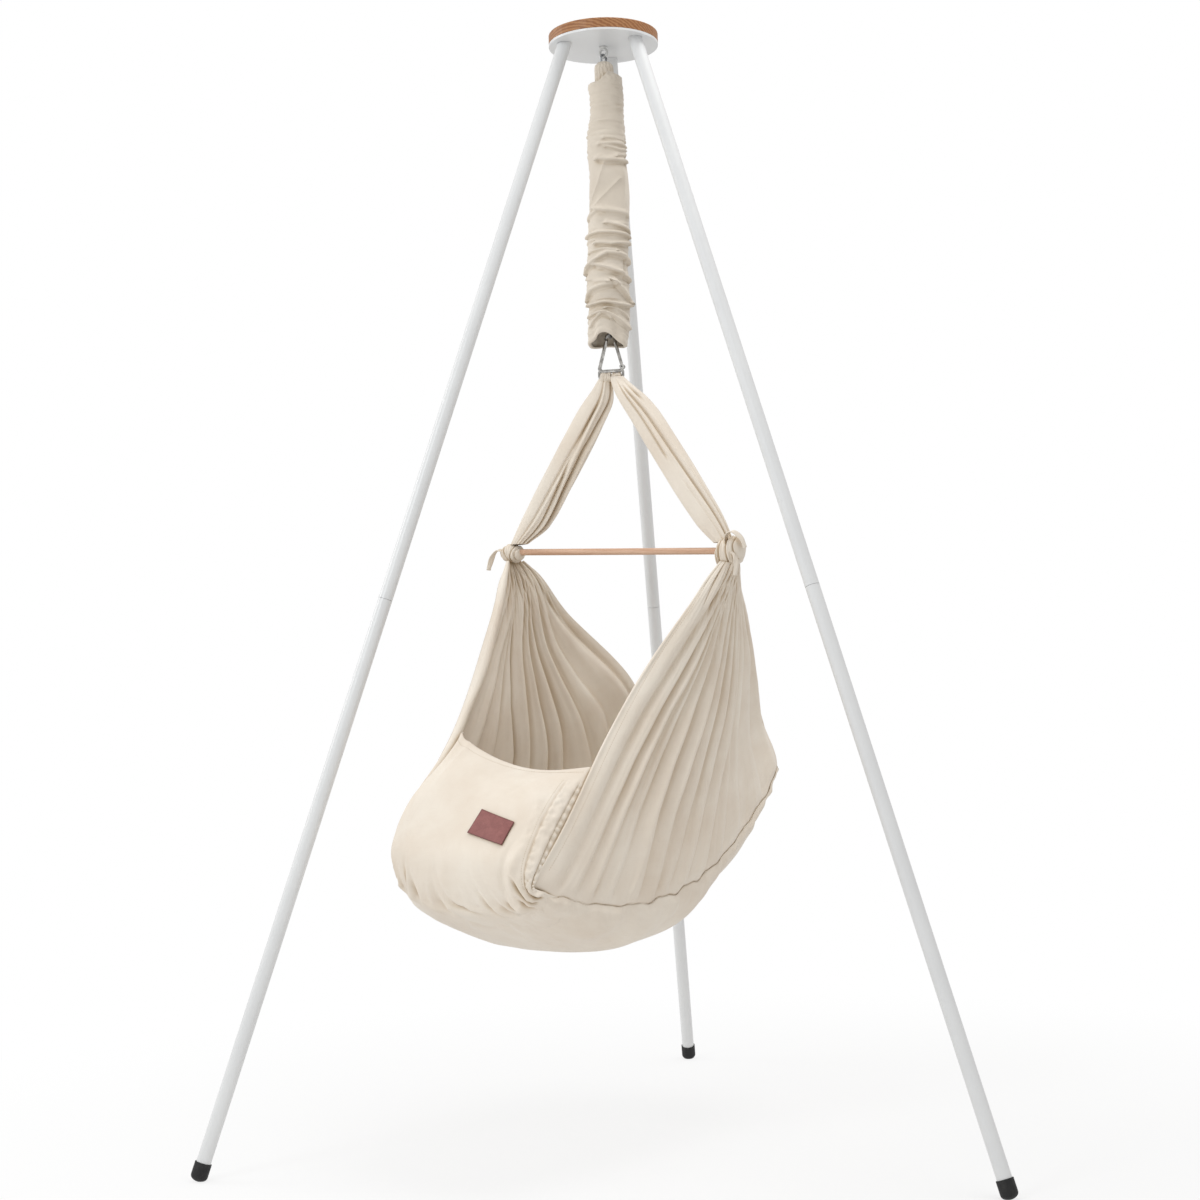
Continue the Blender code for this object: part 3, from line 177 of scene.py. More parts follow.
def srgb(red, green, blue):
    """A colour written in 0-255 screen values, as linear light."""
    def linear(c):
        c /= 255
        return c / 12.92 if c <= 0.04045 else ((c + 0.055) / 1.055) ** 2.4
    return tuple(linear(c) for c in (red, green, blue))


# Width of one band of a wave texture whose scale is 1
WAVE_BAND = 0.314


def cotton(name, light, dark, kind="UV", thread=0.0009, crumple=1.0, grain=1.0):
    """Plain-woven cotton: crossing threads, slubs, soft creases and a faint unevenness of dye, with
    painted shade darkening its creases.
    """
    look = Look(name, Sheen_Weight=0.25, Sheen_Roughness=0.45, Specular_IOR_Level=0.25)
    wave = {"Vector": look.coords(kind), "Scale": WAVE_BAND / thread, "Distortion": 0.6,
            "Detail": 1.0, "Detail Scale": 0.2}
    warp, weft = (look.maths("SUBTRACT", look.node("TexWave", wave, 1, bands_direction=way), 0.5)
                  for way in "XY")
    weave = look.scaled(look.maths("MULTIPLY", warp, weft), 2.0, 0.5)
    slubs = look.maths("MAXIMUM", *(look.noise(look.coords(kind, drawn), 1.0, 3.0, 0.6)
                                    for drawn in ((26.0, 700.0, 300.0), (700.0, 26.0, 300.0))))
    shade = look.noise(look.coords(kind), 7.0, 4.0, 0.6, 0.3)
    tone = look.mix(look.ramp(shade, 0.32, 0.68), dark, light)
    tone = look.mix(look.ramp(slubs, 0.60, 0.78, 0.0, 0.30), tone, tuple(c * 0.82 for c in dark))
    tone = look.tint(tone, light, weave, 0.10)
    # Painted shade: an ambient occlusion mask darkens the cloth to a warm brown in its creases, folds
    # and seams, where shade falls.
    deep = look.node("AmbientOcclusion", {"Distance": 0.016}, "AO")
    shadow = tuple(c * k for c, k in zip(dark, (0.72, 0.64, 0.50)))
    tone = look.mix(look.ramp(deep, 0.30, 0.92), shadow, tone)
    soft = look.noise(look.coords(kind), 34.0, 3.0, 0.55, 0.8)
    normal = look.bump(soft, 0.0016 * crumple, 0.5)
    normal = look.bump(slubs, 0.00025 * grain, 0.3, normal)
    normal = look.bump(weave, 0.00014 * grain, 0.25, normal)
    return look.join(tone, look.scaled(shade, 0.16, 0.78), normal)


def powder_coat():
    """White powder coat: fine orange peel, and faint scuffs."""
    look = Look("white_powder_coat", Specular_IOR_Level=0.5, Coat_Weight=0.15, Coat_Roughness=0.2)
    peel = look.noise(look.coords(), 620.0)
    cloud = look.noise(look.coords(), 9.0, 4.0, 0.6)
    scuff = look.ramp(look.noise(look.coords("Object", (60.0, 60.0, 9.0)), 3.0, 6.0, 0.7), 0.62, 0.72)
    tone = look.mix(cloud, srgb(216, 217, 218), srgb(227, 228, 228))
    tone = look.tint(tone, srgb(188, 186, 182), scuff, 0.10)
    rough = look.scaled(scuff, 0.14, look.scaled(cloud, 0.14, 0.34))
    return look.join(tone, rough, look.bump(peel, 0.00006, 0.4))


def metal(name, colour, dull, rough, stretch=(1.0, 1.0, 1.0), fine=900.0):
    """Bare or plated metal: drawn scratches, uneven polish and a little tarnish in patches."""
    look = Look(name, Metallic=1.0)
    drawn = look.noise(look.coords("Object", stretch), fine, 3.0, 0.6)
    patch = look.noise(look.coords(), 85.0, 4.0, 0.65)
    tone = look.mix(look.ramp(patch, 0.35, 0.75), colour, dull)
    rougher = look.scaled(patch, rough * 0.5, look.scaled(drawn, rough * 0.6, rough * 0.55))
    return look.join(tone, rougher, look.bump(drawn, 0.00006, 0.4))


def wood(name, light, dark, pore, along, rings, rough, coat=0.0):
    """Planed wood: growth rings drawn out along the grain, fine fibres and open pores."""
    look = Look(name, Coat_Weight=coat, Coat_Roughness=0.3, Specular_IOR_Level=0.4)
    def drawn_out(times):
        return look.coords("Object", tuple(c * times for c in along))
    sway = look.noise(drawn_out(1.0), 4.0, 3.0, 0.5, 0.6)
    ring = look.node("TexWave", {"Vector": drawn_out(1.0), "Scale": rings, "Distortion": 5.0,
                                 "Detail": 3.0, "Detail Scale": 1.2, "Detail Roughness": 0.6},
                     1, bands_direction="DIAGONAL")
    fibre = look.noise(drawn_out(9.0), 12.0, 4.0, 0.7)
    pores = look.ramp(look.noise(drawn_out(14.0), 16.0), 0.60, 0.70)
    tone = look.mix(look.ramp(ring, 0.1, 0.9), light, dark)
    tone = look.tint(tone, dark, sway, 0.5)
    tone = look.tint(tone, pore, look.ramp(fibre, 0.4, 0.7), 0.25)
    tone = look.tint(tone, pore, pores, 0.55)
    normal = look.bump(pores, 0.00025, -0.5, look.bump(fibre, 0.0002, 0.35))
    return look.join(tone, look.scaled(fibre, 0.2, rough), normal)


def rubber():
    """Moulded black rubber, dusty in patches."""
    look = Look("black_rubber", Specular_IOR_Level=0.4)
    grain = look.noise(look.coords(), 520.0, 3.0, 0.6)
    dust = look.ramp(look.noise(look.coords(), 46.0, 5.0, 0.7), 0.48, 0.75)
    tone = look.tint(srgb(26, 26, 27), srgb(74, 72, 70), dust, 0.35)
    return look.join(tone, look.scaled(grain, 0.25, 0.5), look.bump(grain, 0.0002, 0.5))


LABEL_SIZE = (0.083, 0.047)
INKED_EDGE = 0.0028


def leather():
    """Dusty red leather: pebbled grain, and darker where the cut edge is inked."""
    look = Look("red_leather", Specular_IOR_Level=0.4)
    place = look.coords("UV")
    cells = look.node("TexVoronoi", {"Vector": place, "Scale": 900.0, "Randomness": 0.9},
                      feature="SMOOTH_F1")
    cloud = look.noise(place, 60.0, 4.0, 0.6)
    scratch = look.noise(look.coords("UV", (60.0, 900.0, 1.0)), 1.0, 3.0, 0.6)
    tone = look.mix(look.ramp(cloud, 0.3, 0.7), srgb(130, 76, 73), srgb(153, 97, 92))
    tone = look.mix(look.ramp(cells, 0.35, 0.7, 0.0, 0.35), tone, srgb(104, 58, 56))
    across = look.node("SeparateXYZ", {0: look.node("TexCoord", out="UV")}).node
    to_edges = [look.maths("SUBTRACT", size / 2, look.maths("ABSOLUTE", across.outputs[axis], 0.0))
                for axis, size in enumerate(LABEL_SIZE)]
    nearest = look.maths("DIVIDE", look.maths("MINIMUM", *to_edges), INKED_EDGE)
    tone = look.tint(tone, srgb(98, 52, 52), look.ramp(nearest, 0.25, 0.75, 1.0, 0.0), 0.75)
    normal = look.bump(scratch, 0.0001, 0.3, look.bump(cells, 0.0002, 0.5))
    return look.join(tone, look.scaled(cloud, 0.2, 0.42), normal)


CLOTH_LIGHT = srgb(234, 225, 212)
CLOTH_DARK = srgb(223, 210, 194)
LOOKS = {
    "cream_cotton": cotton("cream_cotton", CLOTH_LIGHT, CLOTH_DARK),
    "strap_cotton": cotton("strap_cotton", CLOTH_LIGHT, CLOTH_DARK, crumple=0.6, grain=0.2),
    "sleeve_cotton": cotton("sleeve_cotton", srgb(224, 214, 200), srgb(209, 198, 183), crumple=1.4),
    "quilted_cotton": cotton("quilted_cotton", srgb(236, 231, 221), srgb(225, 219, 208), "Object"),
    "thread": cotton("thread", srgb(226, 217, 200), srgb(206, 195, 176), "Object", 0.0004, 0.3),
    "white_steel": powder_coat(),
    "zinc": metal("zinc_plate", srgb(172, 174, 176), srgb(112, 112, 114), 0.38, fine=400.0),
    "bare_steel": metal("bare_steel", srgb(150, 150, 150), srgb(104, 100, 96), 0.30, (1.0, 1.0, 0.1)),
    "dark_steel": metal("dark_steel", srgb(92, 92, 94), srgb(58, 56, 56), 0.34),
    "polished_steel": metal("polished_steel", srgb(206, 204, 200), srgb(84, 80, 75), 0.19,
                            (1.0, 1.0, 0.15)),
    "pale_zinc": metal("pale_zinc", srgb(226, 226, 224), srgb(190, 190, 188), 0.55, fine=400.0),
    "brass": metal("brass", srgb(200, 164, 92), srgb(150, 116, 62), 0.30),
    "black_rubber": rubber(),
    "oiled_wood": wood("oiled_oak", srgb(184, 134, 88), srgb(146, 94, 54), srgb(84, 50, 28),
                       (2.0, 26.0, 40.0), 2.4, 0.42, 0.12),
    "beech": wood("beech", srgb(224, 190, 164), srgb(206, 166, 138), srgb(160, 114, 88),
                  (1.2, 14.0, 14.0), 4.0, 0.5),
    "red_leather": leather(),
}


# Shape tools


def smooth_random(rows, columns, cells_down, cells_across, seed, closed=False):
    """A smooth field of random heights, from -1 to 1, the same at every run."""
    source = np.random.default_rng(seed).uniform(-1.0, 1.0, (cells_down + 1, cells_across + 1))
    if closed:
        source[:, -1] = source[:, 0]
    def spread(count, cells):
        at = np.linspace(0.0, cells, count)
        low = np.minimum(at.astype(int), cells - 1)
        return low, ease(at - low)
    i, a = spread(rows, cells_down)
    j, b = spread(columns, cells_across)
    return blend_cells(source, i[:, None], j[None, :], a[:, None], b[None, :])


def blend_cells(grid, i, j, a, b):
    """Values between rows i and i + 1 and columns j and j + 1 of a grid, at shares a and b."""
    top = grid[i, j] * (1 - b) + grid[i, j + 1] * b
    low = grid[i + 1, j] * (1 - b) + grid[i + 1, j + 1] * b
    return top * (1 - a) + low * a


def outward_normals(grid, axis, sign):
    """Unit normals of a grid of points. The one in its middle points to sign along the axis."""
    normal = unit(np.cross(np.gradient(grid, axis=1), np.gradient(grid, axis=0)))
    middle = normal[grid.shape[0] // 2, grid.shape[1] // 2, axis]
    return normal if middle * sign > 0 else -normal


def dress(mesh, look):
    mesh.materials.clear()
    mesh.materials.append(LOOKS[look])
    mesh.polygons.foreach_set("use_smooth", [True] * len(mesh.polygons))


def mesh_object(name, vertices, faces, look):
    mesh = bpy.data.meshes.new(name)
    mesh.from_pydata([tuple(map(float, p)) for p in vertices], [], faces)
    dress(mesh, look)
    return add_object(name, mesh)


def grid_object(name, points, look, size, thickness=0.0, body="cradle",
                closed=False, offset=0.0):
    """A sheet through a grid of points. size is its flat width and length, for the weave."""
    rows, columns = points.shape[:2]
    span = columns - 1 if closed else columns
    cells = [(j, i) for j in range(rows - 1) for i in range(columns - 1)]
    faces = []
    for j, i in cells:
        right = (i + 1) % span
        faces.append((j * span + i, (j + 1) * span + i, (j + 1) * span + right, j * span + right))
    obj = mesh_object(name, points[:, :span].reshape(-1, 3), faces, look)
    layer = obj.data.uv_layers.new(name="cloth")
    u = np.linspace(-0.5, 0.5, columns) * size[0]
    v = np.linspace(0.5, -0.5, rows) * size[1]
    spots = []
    for j, i in cells:
        spots += [u[i], v[j], u[i], v[j + 1], u[i + 1], v[j + 1], u[i + 1], v[j]]
    layer.data.foreach_set("uv", spots)
    if thickness:
        solid = obj.modifiers.new("thickness", "SOLIDIFY")
        solid.thickness = thickness
        solid.offset = offset
    if body:
        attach(obj, body)
    return obj


def field(down, across):
    """Two grids of values: one runs down the rows, the other across the columns."""
    return np.meshgrid(down, across, indexing="ij")


def full_turn(sides):
    return np.linspace(0.0, 2 * np.pi, sides + 1)


def unit(vectors):
    return vectors / np.maximum(np.linalg.norm(vectors, axis=-1, keepdims=True), 1e-12)


def turned(x, y, angle):
    """Coordinates x and y turned by an angle."""
    return x * np.cos(angle) - y * np.sin(angle), x * np.sin(angle) + y * np.cos(angle)


def wrap(angle):
    """An angle brought to within half a turn of 0."""
    return (angle + np.pi) % (2 * np.pi) - np.pi


def smoothed(line, weights):
    """A row of values, each replaced by the weighted mean of those round it."""
    return np.convolve(np.pad(line, len(weights) // 2, "edge"), weights / weights.sum(), "valid")


def smooth_line(points, steps):
    """A smooth curve through points, steps to each stretch."""
    points = [np.asarray(p, float) for p in points]
    out = []
    for i in range(len(points) - 1):
        before = points[max(0, i - 1)]
        a, b = points[i], points[i + 1]
        after = points[min(len(points) - 1, i + 2)]
        for k in range(steps):
            t = k / steps
            out.append(0.5 * (2 * a + (b - before) * t + (2 * before - 5 * a + 4 * b - after) * t**2
                              + (3 * a - before - 3 * b + after) * t**3))
    out.append(points[-1])
    return np.array(out)


def bell(x, width):
    return np.exp(-((x / width) ** 2))


def ease(x):
    x = np.clip(x, 0.0, 1.0)
    return x * x * (3 - 2 * x)


def window(x, start, rise, end, fall):
    """1 in between: it rises from 0 over a stretch from start on, and falls again from end on."""
    return ease((x - start) / rise) * (1 - ease((x - end) / fall))


# Cradle cloth. Its points are counted from the bar's middle, with the right side at +x

# How far the tub reaches in front of the bar and behind it
FRONT, REAR = 0.420, 0.270
# How far out a wall's front edge stands halfway down
EDGE_X = 0.181
# How far out a knot's middle is, and how much lower the right one is than the bar's middle
KNOT_X, KNOT_LOWER = 0.263, 0.015
# A wall's top, under its knot: how far below the bar it is, and half its length
TOP_BELOW, TOP_HALF = 0.0185, 0.012
# Shares down the left and right wall at which the end panels' tops begin
FRONT_TOP, REAR_TOP = (0.552, 0.655), (0.60, 0.60)
CLOTH = 0.0016
# The seam between walls and tub: its lowest place, and how it curves up from there
SEAM_LOW, SEAM_LOW_AT, SEAM_CURVE = -0.610, -0.200, 0.95
# The tub's half width, and its depth below the seam: at the front, at the rear, and the swell
HALF_WIDTHS = (0.162, 0.146, 0.040)
DEPTHS = (0.030, 0.026, 0.066)

# Fold lines of the walls: rows give the share down the wall, and each line below the share
# across it, from the front edge, at those rows
FOLD_ROWS = (0.0, 0.1, 0.2, 0.3, 0.45, 0.6, 0.75, 1.0)
RIGHT_FOLDS = (
    (0.46, 0.24, 0.165, 0.130, 0.092, 0.076, 0.068, 0.062),
    (0.55, 0.34, 0.265, 0.22, 0.165, 0.135, 0.12, 0.115),
    (0.62, 0.42, 0.345, 0.30, 0.225, 0.190, 0.170, 0.165),
    (0.66, 0.46, 0.39, 0.36, 0.285, 0.25, 0.225, 0.23),
    (0.70, 0.50, 0.44, 0.42, 0.36, 0.32, 0.30, 0.325),
    (0.74, 0.58, 0.53, 0.51, 0.455, 0.405, 0.375, 0.38),
    (0.78, 0.66, 0.62, 0.60, 0.55, 0.50, 0.465, 0.435),
    (0.82, 0.73, 0.69, 0.665, 0.625, 0.57, 0.535, 0.51),
    (0.86, 0.80, 0.76, 0.73, 0.69, 0.65, 0.615, 0.585),
    (0.90, 0.85, 0.82, 0.79, 0.745, 0.70, 0.69, 0.68),
    (0.93, 0.90, 0.885, 0.86, 0.81, 0.765, 0.765, 0.785),
    (0.97, 0.96, 0.95, 0.94, 0.925, 0.912, 0.90, 0.897),
)
LEFT_FOLDS = (
    (0.34, 0.21, 0.145, 0.105, 0.060, 0.050, 0.045, 0.045),
    (0.50, 0.38, 0.27, 0.205, 0.170, 0.155, 0.150, 0.150),
    (0.56, 0.41, 0.33, 0.285, 0.27, 0.275, 0.28, 0.28),
    (0.61, 0.44, 0.383, 0.362, 0.37, 0.42, 0.43, 0.43),
    (0.70, 0.60, 0.53, 0.49, 0.485, 0.50, 0.51, 0.51),
    (0.76, 0.67, 0.60, 0.565, 0.56, 0.58, 0.59, 0.59),
    (0.80, 0.72, 0.66, 0.64, 0.645, 0.66, 0.665, 0.67),
    (0.88, 0.82, 0.76, 0.725, 0.735, 0.765, 0.79, 0.79),
    (0.94, 0.90, 0.85, 0.81, 0.82, 0.86, 0.87, 0.87),
    (0.98, 0.965, 0.955, 0.950, 0.955, 0.97, 0.975, 0.975),
)


def seam_z(y):
    return SEAM_LOW + SEAM_CURVE * (y - SEAM_LOW_AT) ** 2


def share_of(y):
    """How far from the tub's front (0) to its rear (1) a place is."""
    return (y + FRONT) / (FRONT + REAR)


def half_width(y):
    t = share_of(y)
    front, rear, swell = HALF_WIDTHS
    return front + (rear - front) * t + swell * 4 * t * (1 - t)


def pouch_depth(y):
    t = share_of(y)
    front, rear, swell = DEPTHS
    return front + (rear - front) * t + swell * np.maximum(0.0, 4 * t * (1 - t)) ** (0.6 + 0.65 * t)


def seam(u):
    """The right wall's seam with the tub, from front (0) to rear (1)."""
    y = -FRONT + (FRONT + REAR) * u
    return np.stack([half_width(y), y, seam_z(y)], -1)


# How far out of its plain curve the right wall's rear edge stands, at even steps down it
REAR_OUT = (0.0, 0.010, 0.019, 0.018, 0.010, -0.001, -0.012, -0.019, -0.014, -0.003, 0.0)
REAR_AT = np.linspace(0.0, 1.0, 21)
REAR_LINE = smoothed(np.interp(REAR_AT, np.linspace(0.0, 1.0, len(REAR_OUT)), REAR_OUT),
                     np.array((0.25, 0.5, 0.25)))
# The most that the left wall's rear edge stands out and forward, in its upper half
LEFT_REAR_OUT, LEFT_REAR_FORWARD = 0.028, 0.018

# Pulls on the cloth near the tub's front left corner: middle of each, its radius and its pull
PULLS = (
    ((-0.172, -0.345, -0.460), 0.100, (-0.0179, -0.0151, 0.0)),
    ((-0.162, -0.425, -0.575), 0.042, (0.0110, 0.0093, 0.0)),
    ((-0.162, -0.425, -0.575), 0.070, (0.0, 0.0, 0.0105)),
)


def bend(point):
    """The cloth's own hang at the tub's front left corner: fuller above it, tucked up at it."""
    for place, radius, pull in PULLS:
        near = np.exp(-(((point - place) ** 2).sum(-1)) / radius**2)
        point = point + near[..., None] * pull
    return point


def edge(v, end, lean=0.0):
    """The right wall's front (-1) or rear (1) edge, from the knot to the seam.

    The rear edge follows the right wall's own line where lean is 1, and the left wall's where
    it is 0, as that wall's mirror image.
    """
    top = np.array((KNOT_X, end * TOP_HALF, -TOP_BELOW))
    bottom = seam(np.array(0.0 if end < 0 else 1.0))
    v = np.asarray(v, float)
    point = top + (bottom - top) * v[..., None]
    rest = np.maximum(0.0, 1 - v)
    if end < 0:
        into = np.maximum(0.0, 1 - v / 0.65) ** 2
        point[..., 0] = EDGE_X + (top[0] - EDGE_X) * into - (EDGE_X - bottom[0]) * v**8
    else:
        reach = (1 - lean) * window(v, 0.0, 0.26, 0.26, 0.36)
        point[..., 0] = bottom[0] + (top[0] - bottom[0]) * rest**4 + LEFT_REAR_OUT * reach
        point[..., 1] = bottom[1] + (top[1] - bottom[1]) * rest**2 - LEFT_REAR_FORWARD * reach
        point[..., 0] += lean * np.interp(v, REAR_AT, REAR_LINE)
    return point


def knot_shift(side, v):
    """How far a wall is lifted or lowered with its knot, down its length."""
    return -side * KNOT_LOWER * np.maximum(0.0, 1 - v) ** 2


def wall_base(u, v, lean=0.0):
    """The wall's cloth without its folds, for arrays of u and v."""
    u3, v3 = u[..., None], v[..., None]
    front, rear = edge(v, -1), edge(v, 1, lean)
    across = front + (rear - front) * u3
    top_front, top_rear = edge(np.zeros_like(v), -1), edge(np.zeros_like(v), 1)
    top = top_front + (top_rear - top_front) * u3
    low_front, low_rear = seam(np.zeros_like(u)), seam(np.ones_like(u))
    down = top + (seam(u) - top) * v3
    corners = top + (low_front + (low_rear - low_front) * u3 - top) * v3
    point = across + down - corners
    point[..., 0] += 0.020 * np.sin(np.pi * v) * np.sin(np.pi * u)
    return point


def pucker(u, v, seed, count):
    """Small gathers that a seam pulls into the cloth beside it."""
    rng = np.random.default_rng(seed)
    total = np.zeros_like(u)
    for k in range(count):
        place = (k + rng.uniform(0.2, 0.8)) / count
        width = rng.uniform(0.16, 0.34) / count
        reach = rng.uniform(0.03, 0.11)
        size = rng.uniform(0.5, 1.0)
        lean = rng.uniform(-0.06, 0.06)
        total += size * bell(u - place - lean * v, width) * np.exp(-v / reach)
    return total


def scallop(share, seed):
    """How far the gathered seam wanders up and down, along its length."""
    phase = 2 * np.pi * 10.5 * share + 1.1 * np.sin(7.0 * share + seed)
    wave = 0.7 * np.sin(phase) + 0.3 * np.sin(2 * phase + 0.7)
    wave = wave * (0.35 + 0.65 * np.sin(6.1 * share + 0.8 + seed) ** 2)
    return 0.0048 * wave * ease(share / 0.06) * ease((1 - share) / 0.06)


def fold_relief(v_line, u_line, lines, length, deepest, seed, first_plain):
    """Height of the folds between the fold lines: rounded crests with sharp creases between them."""
    rng = np.random.default_rng(seed)
    edges = [smoothed(np.interp(v_line, FOLD_ROWS, line), np.hanning(17)) for line in lines]
    edges = [np.zeros_like(v_line), *edges, np.ones_like(v_line)]
    height = np.zeros((len(v_line), len(u_line)))
    v = v_line[:, None]
    for low, high in zip(edges[:-1], edges[1:]):
        low, high = low[:, None], high[:, None]
        share = (u_line[None, :] - low) / np.maximum(high - low, 1e-6)
        inside = (share >= 0) & (share < 1)
        share = np.clip(share, 0.0, 1.0)
        width = (high - low) * length[:, None]
        front_band = low.max() < 0.01 and first_plain
        power = 1.2 if front_band else rng.uniform(1.8, 2.5)
        crest = np.sin(np.pi * share**power) ** (0.9 if front_band else 0.75)
        place = rng.uniform(0.3, 0.6) + 0.07 * np.sin(rng.uniform(2, 5) * v + rng.uniform(0, 6))
        crest -= (0.0 if front_band else rng.uniform(0.04, 0.20)) * bell(share - place, 0.11)
        size = rng.uniform(0.6, 1.3)
        steepest = 0.37 + 0.08 * ease((low - 0.4) / 0.2)
        height += inside * crest * size * np.minimum(deepest, steepest * width)
    return height


def blur(values, width):
    """A grid of values smoothed down and across."""
    for axis in (0, 1):
        values = np.apply_along_axis(smoothed, axis, values, np.hanning(width + 2)[1:-1])
    return values


# For each wall: fold lines, deepest fold, how far its top leans in, seed of its small folds
WALLS = {1: (RIGHT_FOLDS, 0.0185, 0.0, 11), -1: (LEFT_FOLDS, 0.0180, 0.010, 29)}
# Columns of the narrow roll at a wall's front edge, which come before the wall's own
ROLL_COLUMNS = 12


def wall_relief(u_line, v_line, length, side):
    """Height of a wall's folds, of the bunched cloth under the knot and of the seam's gathers."""
    lines, deepest, _, seed = WALLS[side]
    v, u = field(v_line, u_line)
    height = fold_relief(v_line, u_line, lines, length, deepest, seed, side > 0)
    height *= 1 - 0.45 * ease((v - 0.62) / 0.30)
    height = blur(height, 5) - 0.0056 * ease(v / 0.35)
    if side < 0:
        # The left wall's deepest crease, and the pocket beside its rear edge
        deep = np.interp(v_line, FOLD_ROWS, LEFT_FOLDS[3])[:, None]
        height -= 0.010 * bell(u - deep, 0.016) * window(v, 0.12, 0.2, 0.7, 0.3)
        height -= 0.012 * bell(u - 0.93, 0.022) * window(v, 0.10, 0.08, 0.30, 0.2)
    wander = smooth_random(*v.shape, 3, 8, seed + 1)
    fine = np.sin(2 * np.pi * 34 * u + 3.0 * wander + 2.0 * smooth_random(*v.shape, 3, 20, seed + 2))
    height += 0.0006 * fine * np.exp(-v / 0.16) * ease(v / 0.04)
    bunch = np.abs(np.sin(np.pi * 9 * u + 1.4 * wander)) ** 0.8 - 0.55
    height += 0.0058 * bunch * bell(v, 0.15)
    height += 0.0016 * smooth_random(*v.shape, 7, 12, seed + 4) * np.sin(np.pi * v)
    height += 0.0028 * pucker(u, 1 - v, seed + 5, 30)
    height *= ease((1 - v) / 0.045)
    height -= 0.0003 * bell(1 - v, 0.008)
    return height * ease(u / 0.02) * ease((1 - u) / 0.04)


def make_wall(word, side):
    """A gathered wall: its folds run from the knot to the seam, and its front edge is rolled in."""
    v_line, u_line = np.linspace(0.0, 1.0, 150) ** 1.15, np.linspace(0.0, 1.0, 380)
    v, u = field(v_line, u_line)
    point = wall_base(u, v, 1.0 if side > 0 else 0.0)
    length = np.linalg.norm(np.diff(point, axis=1), axis=2).sum(1)
    height = side * wall_relief(u_line, v_line, length, side)
    point = point + outward_normals(point, 0, 1) * height[..., None]
    rounding = bell(v, 0.11)
    point[..., 0] += (0.014 * np.sin(np.pi * u) - 0.005) * rounding
    point[..., 1] += 0.011 * (2 * u - 1) * rounding
    point[..., 0] -= 0.004 * bell(u, 0.05) * ease((v - 0.82) / 0.18)
    if side > 0:
        corner = bell(v - 0.985, 0.10) * bell(u - 0.95, 0.09)
        point[..., 0] += 0.008 * corner - 0.004 * np.sin(np.pi * v) ** 0.5 * bell(u, 0.012)
        point[..., 1] += 0.004 * corner
    else:
        point[..., 0] += 0.010 * bell(u - 0.021, 0.009) * window(v, 0.0, 0.1, 0.6, 0.15)
    point = np.concatenate([edge_roll(point, v_line, side), point], axis=1)
    point[..., 0] -= WALLS[side][2] * (np.maximum(0.0, 1 - v_line) ** 6)[:, None]
    point[..., 0] *= side
    point[..., 2] += knot_shift(side, v_line)[:, None]
    rise = scallop(np.concatenate([np.zeros(ROLL_COLUMNS), u_line]), side)[None, :]
    point[..., 2] += rise * ease((v_line - 0.84) / 0.16)[:, None] + 0.0006 * (v_line == 1.0)[:, None]
    point = bend(point)
    wall = grid_object("gathered_wall_" + word, point + BAR_CENTRE, "cream_cotton", (0.74, 0.60), CLOTH)
    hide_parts("wall_" + word)
    return point


def edge_roll(point, v, side):
    """Columns that carry on past the wall's front edge and turn back inside it as a narrow roll."""
    start = point[:, 0]
    forward = unit(start - point[:, 4])
    inward = np.array((-1.0, 0.0, 0.0))
    inward = unit(inward - forward * (inward * forward).sum(1, keepdims=True))
    swell = np.sin(np.pi * np.clip(v * 1.05, 0, 1)) ** 0.6 * (1 - ease((v - 0.64) / 0.2))
    radius = 0.0014 + (0.0006 if side > 0 else 0.0050) * swell * (1 + 0.15 * np.sin(23 * v))
    columns = []
    for angle in np.linspace(math.radians(250.0), 0.0, ROLL_COLUMNS, endpoint=False):
        turn = forward * math.sin(angle) + inward * (1 - math.cos(angle))
        columns.append(start + turn * radius[:, None])
    return np.stack(columns, axis=1)


def pouch_point(y, angle, inset=0.0):
    """The tub's plain form: each cross section is half an oval, from its right rim to its left."""
    power = 2 / 2.5
    c, s = np.cos(angle), np.maximum(0.0, np.sin(angle))
    x = (half_width(y) - inset) * np.sign(c) * np.abs(c) ** power
    z = seam_z(y) - (pouch_depth(y) - inset) * s**power
    return np.stack([x, y, z], -1)


